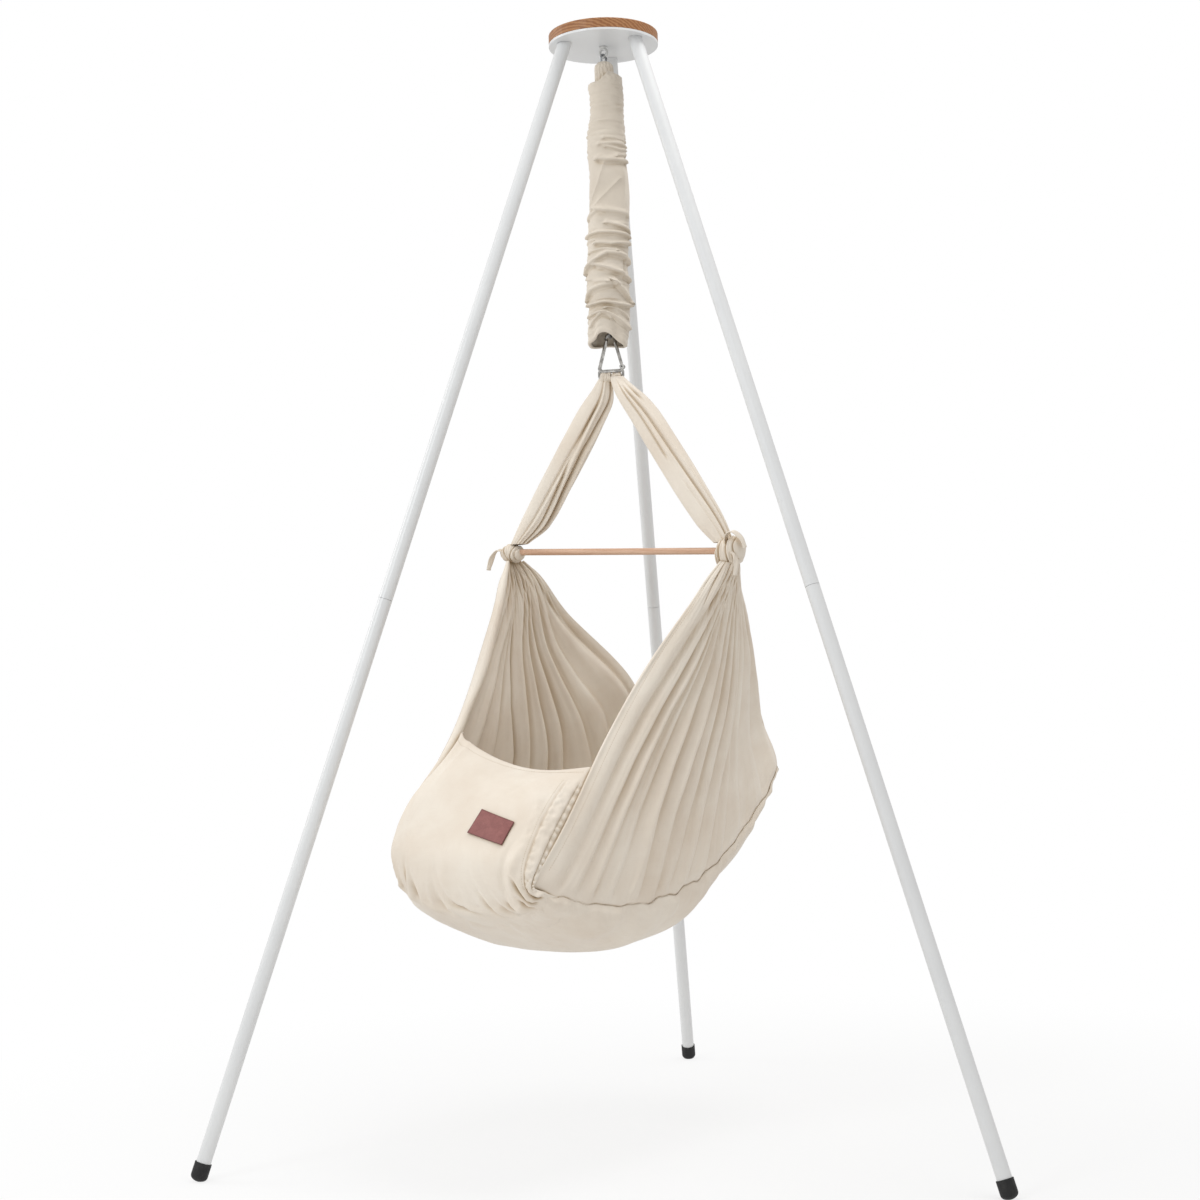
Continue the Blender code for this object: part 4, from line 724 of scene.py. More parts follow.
def make_pouch():
    """The tub under the walls: smooth below, creased where the seams gather it."""
    across = np.linspace(0.0, 1.0, 170)
    y, near_right = field(-FRONT + (FRONT + REAR) * across, across)
    near_left = 1 - near_right
    share = share_of(y)
    back = np.maximum(0.0, 1 - share / 0.075) ** 2
    point = pouch_point(y, np.pi * near_right, 0.005 * back)
    normal = outward_normals(point, 2, -1)
    point[..., 1] += 0.014 * back
    height = 0.0050 * pucker(share, near_right * 1.2, 61, 26)
    height += 0.0042 * pucker(share, near_left * 1.6, 67, 26)
    height += 0.0052 * pucker(near_right, share * 0.8, 71, 15) * np.sin(np.pi * near_right) ** 0.5
    height += 0.0030 * pucker(near_right, (1 - share) * 1.6, 73, 11)
    height += 0.0022 * smooth_random(*y.shape, 9, 7, 79)
    wander = 2 * smooth_random(*y.shape, 5, 4, 81)
    drag = np.sin(2 * np.pi * (5.0 * share + 1.6 * near_right) + wander)
    height += 0.0048 * drag * bell(near_right - 0.17, 0.13)
    swell = bell(near_right - 0.05, 0.05) + bell(near_left - 0.05, 0.05)
    height += 0.0022 * swell * (1 + 0.6 * np.sin(2 * np.pi * 19 * share + 3 * np.sin(9 * share)))
    height -= 0.0008 * (bell(near_right, 0.010) + bell(near_left, 0.010))
    hold = ease(near_right / 0.03) * ease(near_left / 0.03)
    point = point + normal * (height * (0.25 + 0.75 * hold) * (1 - back))[..., None]
    corner = bell(share - 0.95, 0.09) * np.exp(-near_right / 0.10)
    point[..., 0] += 0.008 * corner
    point[..., 1] += 0.004 * corner
    point[..., 2] += scallop(share, 1) * np.exp(-near_right / 0.045)
    point[..., 2] += scallop(share, -1) * np.exp(-near_left / 0.045)
    point = bend(point)
    pouch = grid_object("tub", point + BAR_CENTRE, "cream_cotton", (0.52, 0.72), CLOTH)
    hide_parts("base_pouch")
    return point


def panel_point(end, s, w):
    """An end panel: s from the left wall (-1) to the right (1), w from its top to the tub."""
    tops = FRONT_TOP if end < 0 else REAR_TOP
    sag, belly = (0.040, 0.040) if end < 0 else (0.030, 0.022)
    v = tops[0] + (tops[1] - tops[0]) * (s + 1) / 2
    v = v + (1 - v) * w
    lean = np.maximum(0.0, s) ** 2
    right = edge(v, end, lean)
    along = edge(v + 0.001, end, lean) - edge(v - 0.001, end, lean)
    facing = end * unit(np.stack([np.zeros_like(s), -along[..., 2], along[..., 1]], -1))
    y = np.full_like(s, -FRONT if end < 0 else REAR)
    bottom = pouch_point(y, np.pi * (1 - s) / 2)
    point = np.stack([right[..., 0] * s, right[..., 1],
                      right[..., 2] - sag * (1 - s * s) * (1 - w) ** 2], -1)
    point[..., 2] += s * knot_shift(1, v)
    point = point + (bottom - point) * (w**3)[..., None]
    push = belly * (1 - np.abs(s) ** 4) * (0.35 * (1 - w) + 4 * w * (1 - w))
    point = point + facing * (push + 0.0010 * (1 - w))[..., None]
    tucked, inset = (0.008, 0.006) if end < 0 else (0.001, -0.0010)
    tuck = tucked * ease((np.abs(s) - 0.955) / 0.045) * (1 - 0.7 * w)
    point = point - facing * tuck[..., None]
    point[..., 0] -= np.sign(s) * inset * ease((np.abs(s) - 0.90) / 0.10) * (1 - ease((w - 0.7) / 0.3))
    if end < 0:
        point[..., 0] += 0.013 * ease((-0.78 - s) / 0.22) * (1 - ease((w - 0.32) / 0.30))
        round_out = bell(w - 0.80, 0.15) * ease((0.93 - s) / 0.3) * ease((1.0 + s) / 0.12 + 0.55)
        point = point + facing * (0.009 * round_out)[..., None]
    point[..., 1] += end * 0.0012 * w
    return point


# Rows down the front and rear panels, rows that carry on under the tub, and columns
FRONT_GRID = (130, 34, 200)
REAR_GRID = (90, 26, 150)


def wrapped_panel(end, grid, reach):
    """An end panel carried on under the tub: its last rows lie on the tub and sink into it."""
    rows, under, columns = grid
    w, s = field(np.linspace(0.0, 1.0, rows), np.linspace(-1.0, 1.0, columns))
    point = panel_point(end, s, w)
    go, s_low = field(np.linspace(0.0, 1.0, under + 1)[1:], s[0])
    y = -end * reach * go + (-FRONT if end < 0 else REAR)
    low = pouch_point(y, np.pi * (1 - s_low) / 2)
    low = low + outward_normals(low, 2, -1) * (0.0024 - 0.0052 * go**1.5)[..., None]
    point = np.concatenate([point, low], axis=0)
    smooth = point
    for _ in range(4):
        smooth = np.apply_along_axis(smoothed, 0, smooth, np.hanning(19)[1:-1])
    row = np.arange(rows + under)
    weight = ease((row - rows * 0.66) / (rows * 0.20)) * ease((rows + under * 0.9 - row) / (under * 0.5))
    point = point + (smooth - point) * weight[:, None, None]
    w = np.concatenate([w, 1 + go], axis=0)
    return point, w, np.concatenate([s, s_low], axis=0)


# Where the tub's seam gathers the front panel, as shares across it
BOTTOM_CREASES = (0.09, 0.24, 0.33, 0.43, 0.49, 0.60, 0.66, 0.71, 0.80, 0.86, 0.92)
# Its slanting folds: height, place across the top, drift across on the way down, width, and the
# middle and half length of the stretch down which each runs
SLANTS = (
    (0.0020, 0.35, 0.9, 0.05, 0.35, 0.2),
    (-0.0030, -0.80, 0.35, 0.05, 0.16, 0.16),
    (0.0022, -0.70, 0.30, 0.05, 0.16, 0.16),
    (-0.0016, 0.55, -0.8, 0.05, 0.22, 0.12),
)


def make_front_panel():
    """The smooth front panel, with its hemmed top and the gathered channel down its right side."""
    point, w, s = wrapped_panel(-1, FRONT_GRID, 0.070)
    down, across = np.clip(w, 0.0, 1.0), (s + 1) / 2
    height = 0.0020 * smooth_random(*w.shape, 5, 4, 83) * np.sin(np.pi * down) ** 0.5
    height += 0.0013 * bell(w - 0.018, 0.022)
    along = window(w, 0.10, 0.12, 0.93, 0.07)
    channel = bell(s - 0.880, 0.062) * (0.6 + 0.7 * smooth_random(*w.shape, 44, 44, 89))
    ruffle = np.sin(2 * np.pi * 19 * w + 2.5 * smooth_random(*w.shape, 12, 3, 90))
    sides = bell(s - 0.965, 0.016) + 0.5 * bell(s - 0.840, 0.022)
    lines = bell(s - 0.815, 0.012) + bell(s - 0.945, 0.012)
    height += along * (0.0034 * channel + 0.0020 * ruffle * sides - 0.0030 * lines)
    beside = bell(s - 0.735, 0.05) * (0.3 + smooth_random(*w.shape, 34, 40, 91))
    height += 0.0016 * beside * ease((w - 0.10) / 0.12)
    left = bell(s + 0.93, 0.035) * (0.4 + smooth_random(*w.shape, 24, 50, 97))
    height += 0.0012 * left * ease((w - 0.2) / 0.2)
    gathers = pucker(across, np.abs(w - 1.04) * 0.8, 101, 16)
    height += 0.0050 * gathers * window(w, 0.55, 0.3, 1.5, 0.4)
    rng = np.random.default_rng(211)
    for place in BOTTOM_CREASES:
        size, lean, wide = rng.uniform(0.7, 1.3), rng.uniform(-0.35, -0.05), rng.uniform(0.010, 0.018)
        middle, reach = rng.uniform(1.02, 1.12), rng.uniform(0.10, 0.19)
        off = across - place - lean * (1.04 - w)
        fold = -bell(off, wide) + 0.7 * bell(off - 2.1 * wide, 1.4 * wide)
        height += 0.0095 * size * fold * bell(w - middle, reach)
    height += 0.0030 * bell(s + 0.84, 0.05) * window(w, 0.25, 0.2, 0.8, 0.2)
    height -= 0.0012 * bell(w - 1.04, 0.030)
    pull = 0.0040 * bell(s - 1.05 + 0.5 * down, 0.05) - 0.0030 * bell(s - 0.93 + 0.5 * down, 0.04)
    height += pull * ease((w - 0.5) / 0.3) * (w < 1.3)
    for rise, place, drift, wide, middle, reach in SLANTS:
        height += rise * bell(s - place - drift * down, wide) * bell(w - middle, reach)
    height *= 1 - 0.9 * ease((w - 1.6) / 0.3)
    point = bend(point + outward_normals(point, 1, -1) * height[..., None])
    panel = grid_object("front_cover", point + BAR_CENTRE, "cream_cotton", (0.40, 0.40), CLOTH)
    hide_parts("front_panel")
    return point


def make_rear_panel():
    """The plain rear panel, gathered where the tub's seam meets it."""
    point, w, s = wrapped_panel(1, REAR_GRID, 0.050)
    down = np.clip(w, 0.0, 1.0)
    height = 0.0020 * smooth_random(*w.shape, 4, 5, 103) * np.sin(np.pi * down) ** 0.5
    height += 0.0013 * bell(w - 0.02, 0.03)
    gathers = pucker((s + 1) / 2, np.abs(w - 1.04) * 0.8, 107, 14)
    height += 0.0032 * gathers * window(w, 0.5, 0.3, 1.5, 0.4)
    beside_seams = (bell(s + 0.9, 0.05) + bell(s - 0.9, 0.05)) * (w < 1.0)
    height += 0.0022 * beside_seams * (0.4 + smooth_random(*w.shape, 16, 40, 109))
    height *= 1 - 0.9 * ease((w - 1.6) / 0.3)
    point = point + outward_normals(point, 1, 1) * height[..., None]
    panel = grid_object("rear_cover", point + BAR_CENTRE, "cream_cotton", (0.34, 0.24), CLOTH)
    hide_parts("rear_panel")
    return point


def sample(grid, row, column):
    """Points of a grid at fractional rows and columns."""
    row = np.clip(np.asarray(row, float), 0, grid.shape[0] - 1.001)
    column = np.clip(np.asarray(column, float), 0, grid.shape[1] - 1.001)
    i, j = row.astype(int), column.astype(int)
    return blend_cells(grid, i, j, (row - i)[..., None], (column - j)[..., None])


STITCH_PITCH, STITCH_LONG, STITCH_WIDE = 0.0042, 0.0028, 0.0005
# Five rings shape each stitch: share of its length, and thickness there
STITCH_RINGS = ((0.0, 0.35), (0.25, 0.95), (0.5, 1.0), (0.75, 0.95), (1.0, 0.35))


def stitches(name, grid, rows, columns, axis, sign):
    """A row of sewn stitches on a grid of cloth, through fractional rows and columns.

    Each is a small bump of thread, on the face that points to sign along the axis.
    """
    line = sample(grid, rows, columns) + BAR_CENTRE
    outward = sample(outward_normals(grid, axis, sign), rows, columns)
    step = np.linalg.norm(np.diff(line, axis=0), axis=1)
    run = np.concatenate([[0.0], np.cumsum(step)])
    def along_run(values, at):
        return np.array([np.interp(at, run, values[:, k]) for k in range(3)])
    vertices, faces = [], []
    for at in np.arange(STITCH_PITCH / 2, run[-1] - STITCH_PITCH / 2, STITCH_PITCH):
        start = along_run(line, at - STITCH_LONG / 2)
        along = along_run(line, at + STITCH_LONG / 2) - start
        up = unit(along_run(outward, at))
        side = unit(np.cross(up, along))
        base = len(vertices)
        for share, size in STITCH_RINGS:
            lift = CLOTH / 2 + 0.00012 + 0.0002 * math.sin(math.pi * share)
            for angle in full_turn(6)[:-1]:
                across = (side * math.cos(angle) + up * math.sin(angle)) * STITCH_WIDE / 2
                vertices.append(start + along * share + up * lift + across * size)
        for r in range(4):
            for k in range(6):
                a, b = base + r * 6 + k, base + r * 6 + (k + 1) % 6
                faces.append((a, b, b + 6, a + 6))
        faces.append(tuple(base + k for k in reversed(range(6))))
        faces.append(tuple(base + 24 + k for k in range(6)))
    thread = mesh_object(name, vertices, faces, "thread")
    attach(thread, "cradle")


right_wall = make_wall("right", 1)
left_wall = make_wall("left", -1)
tub = make_pouch()
front_cover = make_front_panel()
rear_cover = make_rear_panel()


def sew_seams():
    across = np.linspace(5, front_cover.shape[1] - 6, 260)
    stitches("front_hem_stitches", front_cover, np.full(260, 6.2), across, 1, -1)
    down = FRONT_GRID[0] * np.linspace(0.14, 0.95, 260)
    for word, s in (("inner", 0.775), ("outer", 0.950)):
        column = np.full(260, (s + 1) / 2 * (front_cover.shape[1] - 1))
        stitches("channel_stitches_" + word, front_cover, down, column, 1, -1)
    across = np.linspace(5, rear_cover.shape[1] - 6, 200)
    stitches("rear_hem_stitches", rear_cover, np.full(200, 5.2), across, 1, 1)
    down, column = np.linspace(12, 142, 400), np.full(400, ROLL_COLUMNS + 7.0)
    for word, wall, sign in (("right", right_wall, 1), ("left", left_wall, -1)):
        stitches("wall_hem_stitches_" + word, wall, down, column, 0, sign)
        stitches("wall_hem_stitches_inside_" + word, wall, down, column, 0, -sign)


sew_seams()


# Label


def make_label():
    """The bare leather patch on the front cover, its corners a little rounded and its edge inked."""
    rows, columns = 25, 41
    (width, height), thick = LABEL_SIZE, 0.0015
    turn = math.radians(12.0)
    row, column = 0.563 * (FRONT_GRID[0] - 1), (0.305 + 1) / 2 * (front_cover.shape[1] - 1)
    middle = sample(front_cover, row, column)
    across = np.linalg.norm(sample(front_cover, row, column + 1) - middle)
    down = np.linalg.norm(sample(front_cover, row + 1, column) - middle)
    b, a = field(np.linspace(-0.5, 0.5, rows) * height, np.linspace(-0.5, 0.5, columns) * width)
    base = np.stack([blur(front_cover[..., k], 9) for k in range(3)], -1)
    i = row + (a * math.sin(turn) + b * math.cos(turn)) / down
    j = column + (a * math.cos(turn) - b * math.sin(turn)) / across
    lift = CLOTH / 2 + thick / 2 + 0.0012
    curl = 0.0009 * (np.abs(a / (width / 2)) * np.abs(b / (height / 2))) ** 3
    point = sample(base, i, j) + sample(outward_normals(base, 1, -1), i, j) * (lift + curl)[..., None]
    label = grid_object("label", point + BAR_CENTRE, "red_leather", (width, height), thick)
    round_edge = label.modifiers.new("edge", "BEVEL")
    round_edge.width = 0.0004
    round_edge.segments = 2
    round_edge.angle_limit = math.radians(50.0)
    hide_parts("label_patch")


make_label()


# Straps, knots and ribbons

# How far the hook is turned from the bar's line, and the middles of the two knots
HOOK_TURN = math.radians(25.0)
KNOT_AT = {-1: np.array((-0.2555, 0.0, 0.0122)), 1: np.array((0.2600, 0.0, -0.0150))}


def side_angle(place):
    """Angle round an upright piece at which the photo's viewpoint sees that share of its width."""
    return VIEW_TURN - math.acos(np.clip(place, -0.98, 0.98))


def crease_line(angle, t, points, depth, width, from_t, to_t):
    """A crease running along a strap: its angle is given at a few places along the length."""
    at = np.interp(t, [p[0] for p in points], [side_angle(p[1]) for p in points])
    apart = wrap(angle - at)
    shape = -bell(apart, width) + 0.55 * bell(apart - 1.9 * width, 1.3 * width)
    return 1.35 * depth * shape * ease((t - from_t) / 0.08) * ease((to_t - t) / 0.08)


# For each strap: a crease's places along and across it, its depth, its width, and its two ends
STRAP_CREASES = {
    -1: (
        (((0.0, -0.40), (0.5, -0.48), (1.0, -0.45)), 0.13, 0.10, 0.10, 1.1),
        (((0.0, -0.62), (0.25, -0.42), (0.5, -0.28), (0.63, -0.08), (0.8, 0.18), (1.0, 0.3)),
         0.17, 0.10, -0.1, 1.1),
        (((0.0, 0.50), (0.12, 0.42), (0.4, 0.20), (0.63, 0.42), (0.76, 0.62), (1.0, 0.72)),
         0.20, 0.13, -0.1, 1.1),
    ),
    1: (
        (((0.0, -0.50), (0.5, -0.15), (1.0, 0.30)), 0.15, 0.10, 0.02, 1.1),
        (((0.0, -0.75), (0.5, -0.65), (1.0, -0.5)), 0.13, 0.09, -0.1, 0.55),
        (((0.0, 0.10), (0.25, 0.05), (1.0, 0.1)), 0.14, 0.08, -0.1, 0.22),
        (((0.0, 0.50), (0.5, 0.45), (1.0, 0.62)), 0.05, 0.14, 0.55, 1.1),
        (((0.0, -0.45), (0.5, -0.55), (1.0, -0.2)), 0.07, 0.09, 0.6, 1.1),
    ),
}


# The straps' lines from the hook (0) to the knot (1): shift of the middle along x, and half width
STRAP_AT = (0.0, 0.04, 0.08, 0.12, 0.18, 0.26, 0.34, 0.44, 0.54, 0.64, 0.74, 0.84, 0.92, 1.0)
STRAP_LINE = {
    -1: ((-0.0030, 0.0028, 0.0090, 0.0140, 0.0165, 0.0189, 0.0206, 0.0215, 0.0225, 0.0228, 0.0232,
          0.0225, 0.0190, 0.0130),
         (0.0108, 0.0150, 0.0192, 0.0226, 0.0256, 0.0284, 0.0302, 0.0311, 0.0314, 0.0313, 0.0305,
          0.0283, 0.0245, 0.0185)),
    1: ((0.0010, 0.0004, 0.0012, 0.0022, 0.0038, 0.0042, 0.0029, 0.0009, -0.0007, -0.0029, -0.0048,
         -0.0062, -0.0074, -0.0095),
        (0.0122, 0.0155, 0.0180, 0.0204, 0.0238, 0.0266, 0.0280, 0.0282, 0.0282, 0.0282, 0.0280,
         0.0268, 0.0240, 0.0190)),
}


def strap_value(t, side, which):
    """A strap's shift (0) or half width (1) along its length, as a smooth curve."""
    fine = np.linspace(0.0, 1.0, 101)
    table = np.interp(fine, STRAP_AT, STRAP_LINE[side][which])
    return np.interp(t, fine, smoothed(table, np.hanning(11)))


def strap_form(t, angle, side):
    """Points of a gathered strap, at shares t of its run and angles round it."""
    start = np.array((*turned(side * 0.0100, 0.0, HOOK_TURN), 0.3200))
    end = KNOT_AT[side] + np.array((side * -0.004, 0.0, 0.016))
    run = end - start
    lean = math.atan2(abs(run[0]), -run[2]) * side
    centre = start + run * t[..., None]
    centre[..., 0] += strap_value(t, side, 0)
    centre[..., 1] -= side * 0.0045 * bell(t - 0.11, 0.10)
    full = np.sin(np.pi * (0.10 + 0.83 * t)) ** 0.38
    spread = np.minimum(1.0, 7.0 * t)
    spread = spread * (2 - spread)
    deep = 0.0056 + (0.0200 * full - 0.0056) * spread
    relief = np.zeros_like(t)
    for crease in STRAP_CREASES[side]:
        relief += crease_line(angle, t, *crease)
    rng = np.random.default_rng(41 + side)
    for _ in range(7):
        place = rng.uniform(np.pi * 0.35, np.pi * 1.1)
        apart = wrap(angle - place - 0.5 * (t - 0.5) * rng.uniform(-1, 1))
        relief -= rng.uniform(0.05, 0.12) * bell(apart, rng.uniform(0.05, 0.11))
    gathered = np.exp(-t / 0.07) + np.exp(-(1 - t) / 0.07)
    relief += 0.060 * gathered * np.sin(13 * angle + 1.5 * np.sin(2 * angle))
    relief += 0.030 * smooth_random(*t.shape, 5, 9, 51 + side, True)
    swell = 1 + relief * (0.35 + 0.65 * spread)
    slope = lean * np.minimum(1.0, np.minimum(6 * t, 6 * (1 - t)))
    a, y = strap_value(t, side, 1) * swell * np.cos(angle), deep * swell * np.sin(angle)
    x, z = a * np.cos(slope), a * np.sin(slope)
    return centre + np.stack([*turned(x, y, HOOK_TURN * (1 - t)), z], -1)


def strap_loop(side):
    """Points of the strap's fold round one half of the hook's slot bar."""
    long = 0.0192
    around, across = field(full_turn(40), np.linspace(0.0009, long, 30))
    radius = 0.0052 + 0.0005 * np.sin(2 * np.pi * 5.5 * across / long + side)
    radius += 0.0004 * np.cos(3 * around + 9.0 * across / long)
    radius -= 0.0012 * (bell(across - 0.0009, 0.0010) + bell(across - long, 0.0010))
    drop = np.maximum(0.0, -np.sin(around)) ** 2 * 0.0022
    z = 0.319 + radius * np.sin(around) * (1 + 0.5 * (np.sin(around) > 0)) - drop
    return np.stack([*turned(side * across, radius * np.cos(around), HOOK_TURN), z], -1)


def make_strap(word, side):
    """A gathered strap from its fold round the hook's slot bar down to the knot."""
    point = strap_form(*field(np.linspace(0.0, 1.0, 280), full_turn(260)), side)
    strap = grid_object("sling_strap_" + word, point + BAR_CENTRE, "strap_cotton", (0.165, 0.33),
                        0.0008, closed=True, offset=-1.0)
    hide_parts("strap_" + word)
    fold = grid_object("strap_fold_" + word, strap_loop(side) + BAR_CENTRE, "strap_cotton",
                       (0.02, 0.035), 0.0012, offset=-1.0)


make_strap("left", -1)
make_strap("right", 1)


# Half sizes of the knots: along the bar, from front to rear, and in height
KNOT_SIZE = {-1: (0.0255, 0.0195, 0.0165), 1: (0.0280, 0.0235, 0.0250)}
# The wraps' grooves: place along the knot, slant and width, as shares of its half length
KNOT_WRAPS = ((-0.62, 0.20, 0.05), (-0.16, 0.30, 0.06), (0.34, 0.26, 0.05), (0.72, 0.14, 0.04))


def make_knot(word, side):
    """The knot at the bar's end: cloth wound round the bar in slanting wraps, pleated lengthwise."""
    rows, sides = 96, 128
    size = KNOT_SIZE[side]
    tau, phi = field(np.linspace(-0.99995, 0.99995, rows), full_turn(sides))
    radius = (1 - np.abs(tau) ** 2.6) ** 0.52
    rng = np.random.default_rng(5 + side)
    relief = np.zeros_like(tau)
    for middle, slant, width in KNOT_WRAPS:
        place = middle + slant * np.sin(phi + rng.uniform(0, 6)) * 0.6
        relief -= 0.20 * bell(tau - place, width)
        relief += 0.07 * bell(tau - place - 0.16, 0.10)
    wander = 3 * smooth_random(rows, sides + 1, 5, 7, 8, True)
    relief += 0.022 * np.sin(38 * (tau + 0.22 * np.sin(phi + 1.0)) + wander)
    relief += 0.075 * smooth_random(rows, sides + 1, 4, 5, 19 + side, True)
    radius = radius * (1 + relief)
    point = np.stack([tau * size[0], radius * size[1] * np.cos(phi), radius * size[2] * np.sin(phi)], -1)
    if side > 0:
        point[..., 2] += 0.25 * point[..., 0] - 0.004 * ease(-point[..., 2] / 0.02)
    tilt = math.asin(KNOT_LOWER / KNOT_X)
    point[..., 0], point[..., 2] = turned(point[..., 0], point[..., 2], -tilt)
    knot = grid_object("wound_knot_" + word, point + KNOT_AT[side] + BAR_CENTRE, "cream_cotton",
                       (0.12, 0.06), closed=True)
    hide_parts("tie_knot_" + word)


def make_ribbon(name, points, facing, width):
    """A free end of the tie: a narrow doubled ribbon with a turned edge, along a smooth path."""
    line = smooth_line(points, 12)
    facing = unit(np.array(facing))
    tangent = unit(np.gradient(line, axis=0))
    side = unit(facing - tangent * (tangent @ facing)[:, None])
    up = np.cross(tangent, side)
    across = np.linspace(-0.5, 0.5, 13)
    t = np.linspace(0.0, 1.0, len(line))[:, None]
    bulge = 0.0016 * (1 - (2 * across) ** 2)[None, :] + 0.0006 * np.sin(9 * t + 5 * across[None, :])
    rims = 0.0007 * (bell(across - 0.42, 0.06) + bell(across + 0.42, 0.06))[None, :]
    swing = width * (0.88 + 0.12 * np.cos(11 * t))
    point = line[:, None] + side[:, None] * (across[None, :] * swing)[..., None]
    point = point + up[:, None] * (bulge + rims)[..., None]
    length = np.linalg.norm(np.diff(line, axis=0), axis=1).sum()
    ribbon = grid_object(name, point + BAR_CENTRE, "cream_cotton", (width, length), 0.0011)


def make_ties():
    for word, side in (("left", -1), ("right", 1)):
        make_knot(word, side)
    left, right = KNOT_AT[-1], KNOT_AT[1]
    make_ribbon("ribbon_left", [
        left + (-0.012, -0.012, 0.006), left + (-0.024, -0.017, 0.007), left + (-0.034, -0.020, -0.004),
        left + (-0.040, -0.022, -0.021), left + (-0.043, -0.022, -0.030)], (0.35, 1.0, 0.3), 0.0115)
    make_ribbon("ribbon_right_upper", [
        right + (0.004, -0.014, 0.012), right + (0.008, -0.020, 0.025), right + (0.020, -0.019, 0.031),
        right + (0.033, -0.012, 0.020), right + (0.038, -0.008, 0.003)], (0.2, 1.0, 0.3), 0.0105)
    make_ribbon("ribbon_right_lower", [
        right + (0.012, -0.016, 0.000), right + (0.022, -0.018, -0.010), right + (0.026, -0.019, -0.026),
        right + (0.023, -0.019, -0.044)], (0.3, 1.0, 0.0), 0.0105)


make_ties()


# Spring sleeve

SLEEVE_TOP, SLEEVE_LONG, SLEEVE_RADIUS = 1.9548, 0.5276, 0.036
SLEEVE_END = 1.4232
# The sleeve in the photograph, in pixels: its top, its scale, its middle and half width at the
# top, and how much those two grow on the way down
SEEN_TOP, SEEN_PER_METRE = 60.0, 553.0
SEEN_MIDDLE, SEEN_DRIFT = 611.0, 5.0
SEEN_HALF, SEEN_SWELL = 18.0, 3.0


def sleeve_place(x, y):
    """Angle round the sleeve and length down it, of a place given in the photograph's pixels."""
    down = (y - SEEN_TOP) / SEEN_PER_METRE
    middle = SEEN_MIDDLE + SEEN_DRIFT * down / SLEEVE_LONG
    half = SEEN_HALF + SEEN_SWELL * min(1.0, down / 0.35)
    return side_angle((x - middle) / half), down


# Creases as they are seen: line in pixels, depth, width, and height of the fold beside it
SLEEVE_CREASES = (
    (((611, 143), (631, 144)), 0.0030, 0.0022, 0.0012),
    (((606, 149), (632, 149)), 0.0022, 0.0020, 0.0016),
    (((612, 152), (626, 155), (633, 153)), 0.0024, 0.0018, 0.0016),
    (((624, 161), (634, 159)), 0.0060, 0.0030, 0.0010),
    (((604, 165), (612, 167), (630, 166)), 0.0065, 0.0030, 0.0030),
    (((594, 222), (602, 217), (616, 219), (630, 221)), 0.0028, 0.0030, 0.0020),
    (((598, 214), (606, 217)), 0.0030, 0.0025, 0.0016),
    (((613, 230), (624, 233), (636, 237)), 0.0034, 0.0022, 0.0022),
    (((592, 241), (605, 239), (620, 240), (637, 242)), 0.0034, 0.0020, 0.0026),
    (((592, 247), (600, 246)), 0.0020, 0.0020, 0.0010),
    (((604, 250), (618, 252), (635, 249)), 0.0055, 0.0026, 0.0028),
    (((597, 258), (612, 256), (622, 257)), 0.0022, 0.0022, 0.0014),
    (((593, 276), (603, 268), (615, 261), (626, 262), (635, 267)), 0.0048, 0.0030, 0.0034),
    (((603, 272), (615, 277), (636, 285)), 0.0050, 0.0028, 0.0030),
    (((632, 266), (631, 278)), 0.0060, 0.0034, 0.0008),
    (((594, 284), (604, 289), (612, 289)), 0.0026, 0.0026, 0.0016),
    (((594, 304), (600, 297), (610, 294), (620, 292)), 0.0046, 0.0030, 0.0030),
    (((621, 290), (628, 297), (635, 306)), 0.0044, 0.0028, 0.0032),
    (((592, 311), (604, 315), (620, 315), (636, 311)), 0.0048, 0.0024, 0.0034),
    (((614, 322), (624, 319), (633, 322)), 0.0024, 0.0024, 0.0014),
    (((596, 324), (610, 328), (624, 332), (636, 333)), 0.0032, 0.0026, 0.0022),
    (((599, 334), (608, 330), (616, 333)), 0.0032, 0.0026, 0.0016),
)
# Ridges of pulled cloth: line in pixels, height and width
SLEEVE_RIDGES = (
    (((609, 167), (603, 185), (595, 209)), 0.0034, 0.0040),
    (((624, 183), (612, 196), (599, 210)), 0.0030, 0.0034),
    (((628, 176), (630, 214)), 0.0012, 0.0050),
)


def line_distance(angle, down, points):
    """Distance from each place of the sleeve to a line on it, and which side of it that lies."""
    best = np.full(angle.shape, 9.0)
    below = np.zeros(angle.shape)
    spots = [sleeve_place(*p) for p in points]
    for (a0, d0), (a1, d1) in zip(spots[:-1], spots[1:]):
        px, py = wrap(angle - a0) * SLEEVE_RADIUS, down - d0
        vx, vy = (a1 - a0) * SLEEVE_RADIUS, d1 - d0
        share = np.clip((px * vx + py * vy) / (vx * vx + vy * vy), 0.0, 1.0)
        ox, oy = px - share * vx, py - share * vy
        apart = np.hypot(ox, oy)
        closer = apart < best
        best = np.where(closer, apart, best)
        below = np.where(closer, np.sign(vx * oy - vy * ox) * np.sign(vx if vx else 1.0), below)
    return best, below


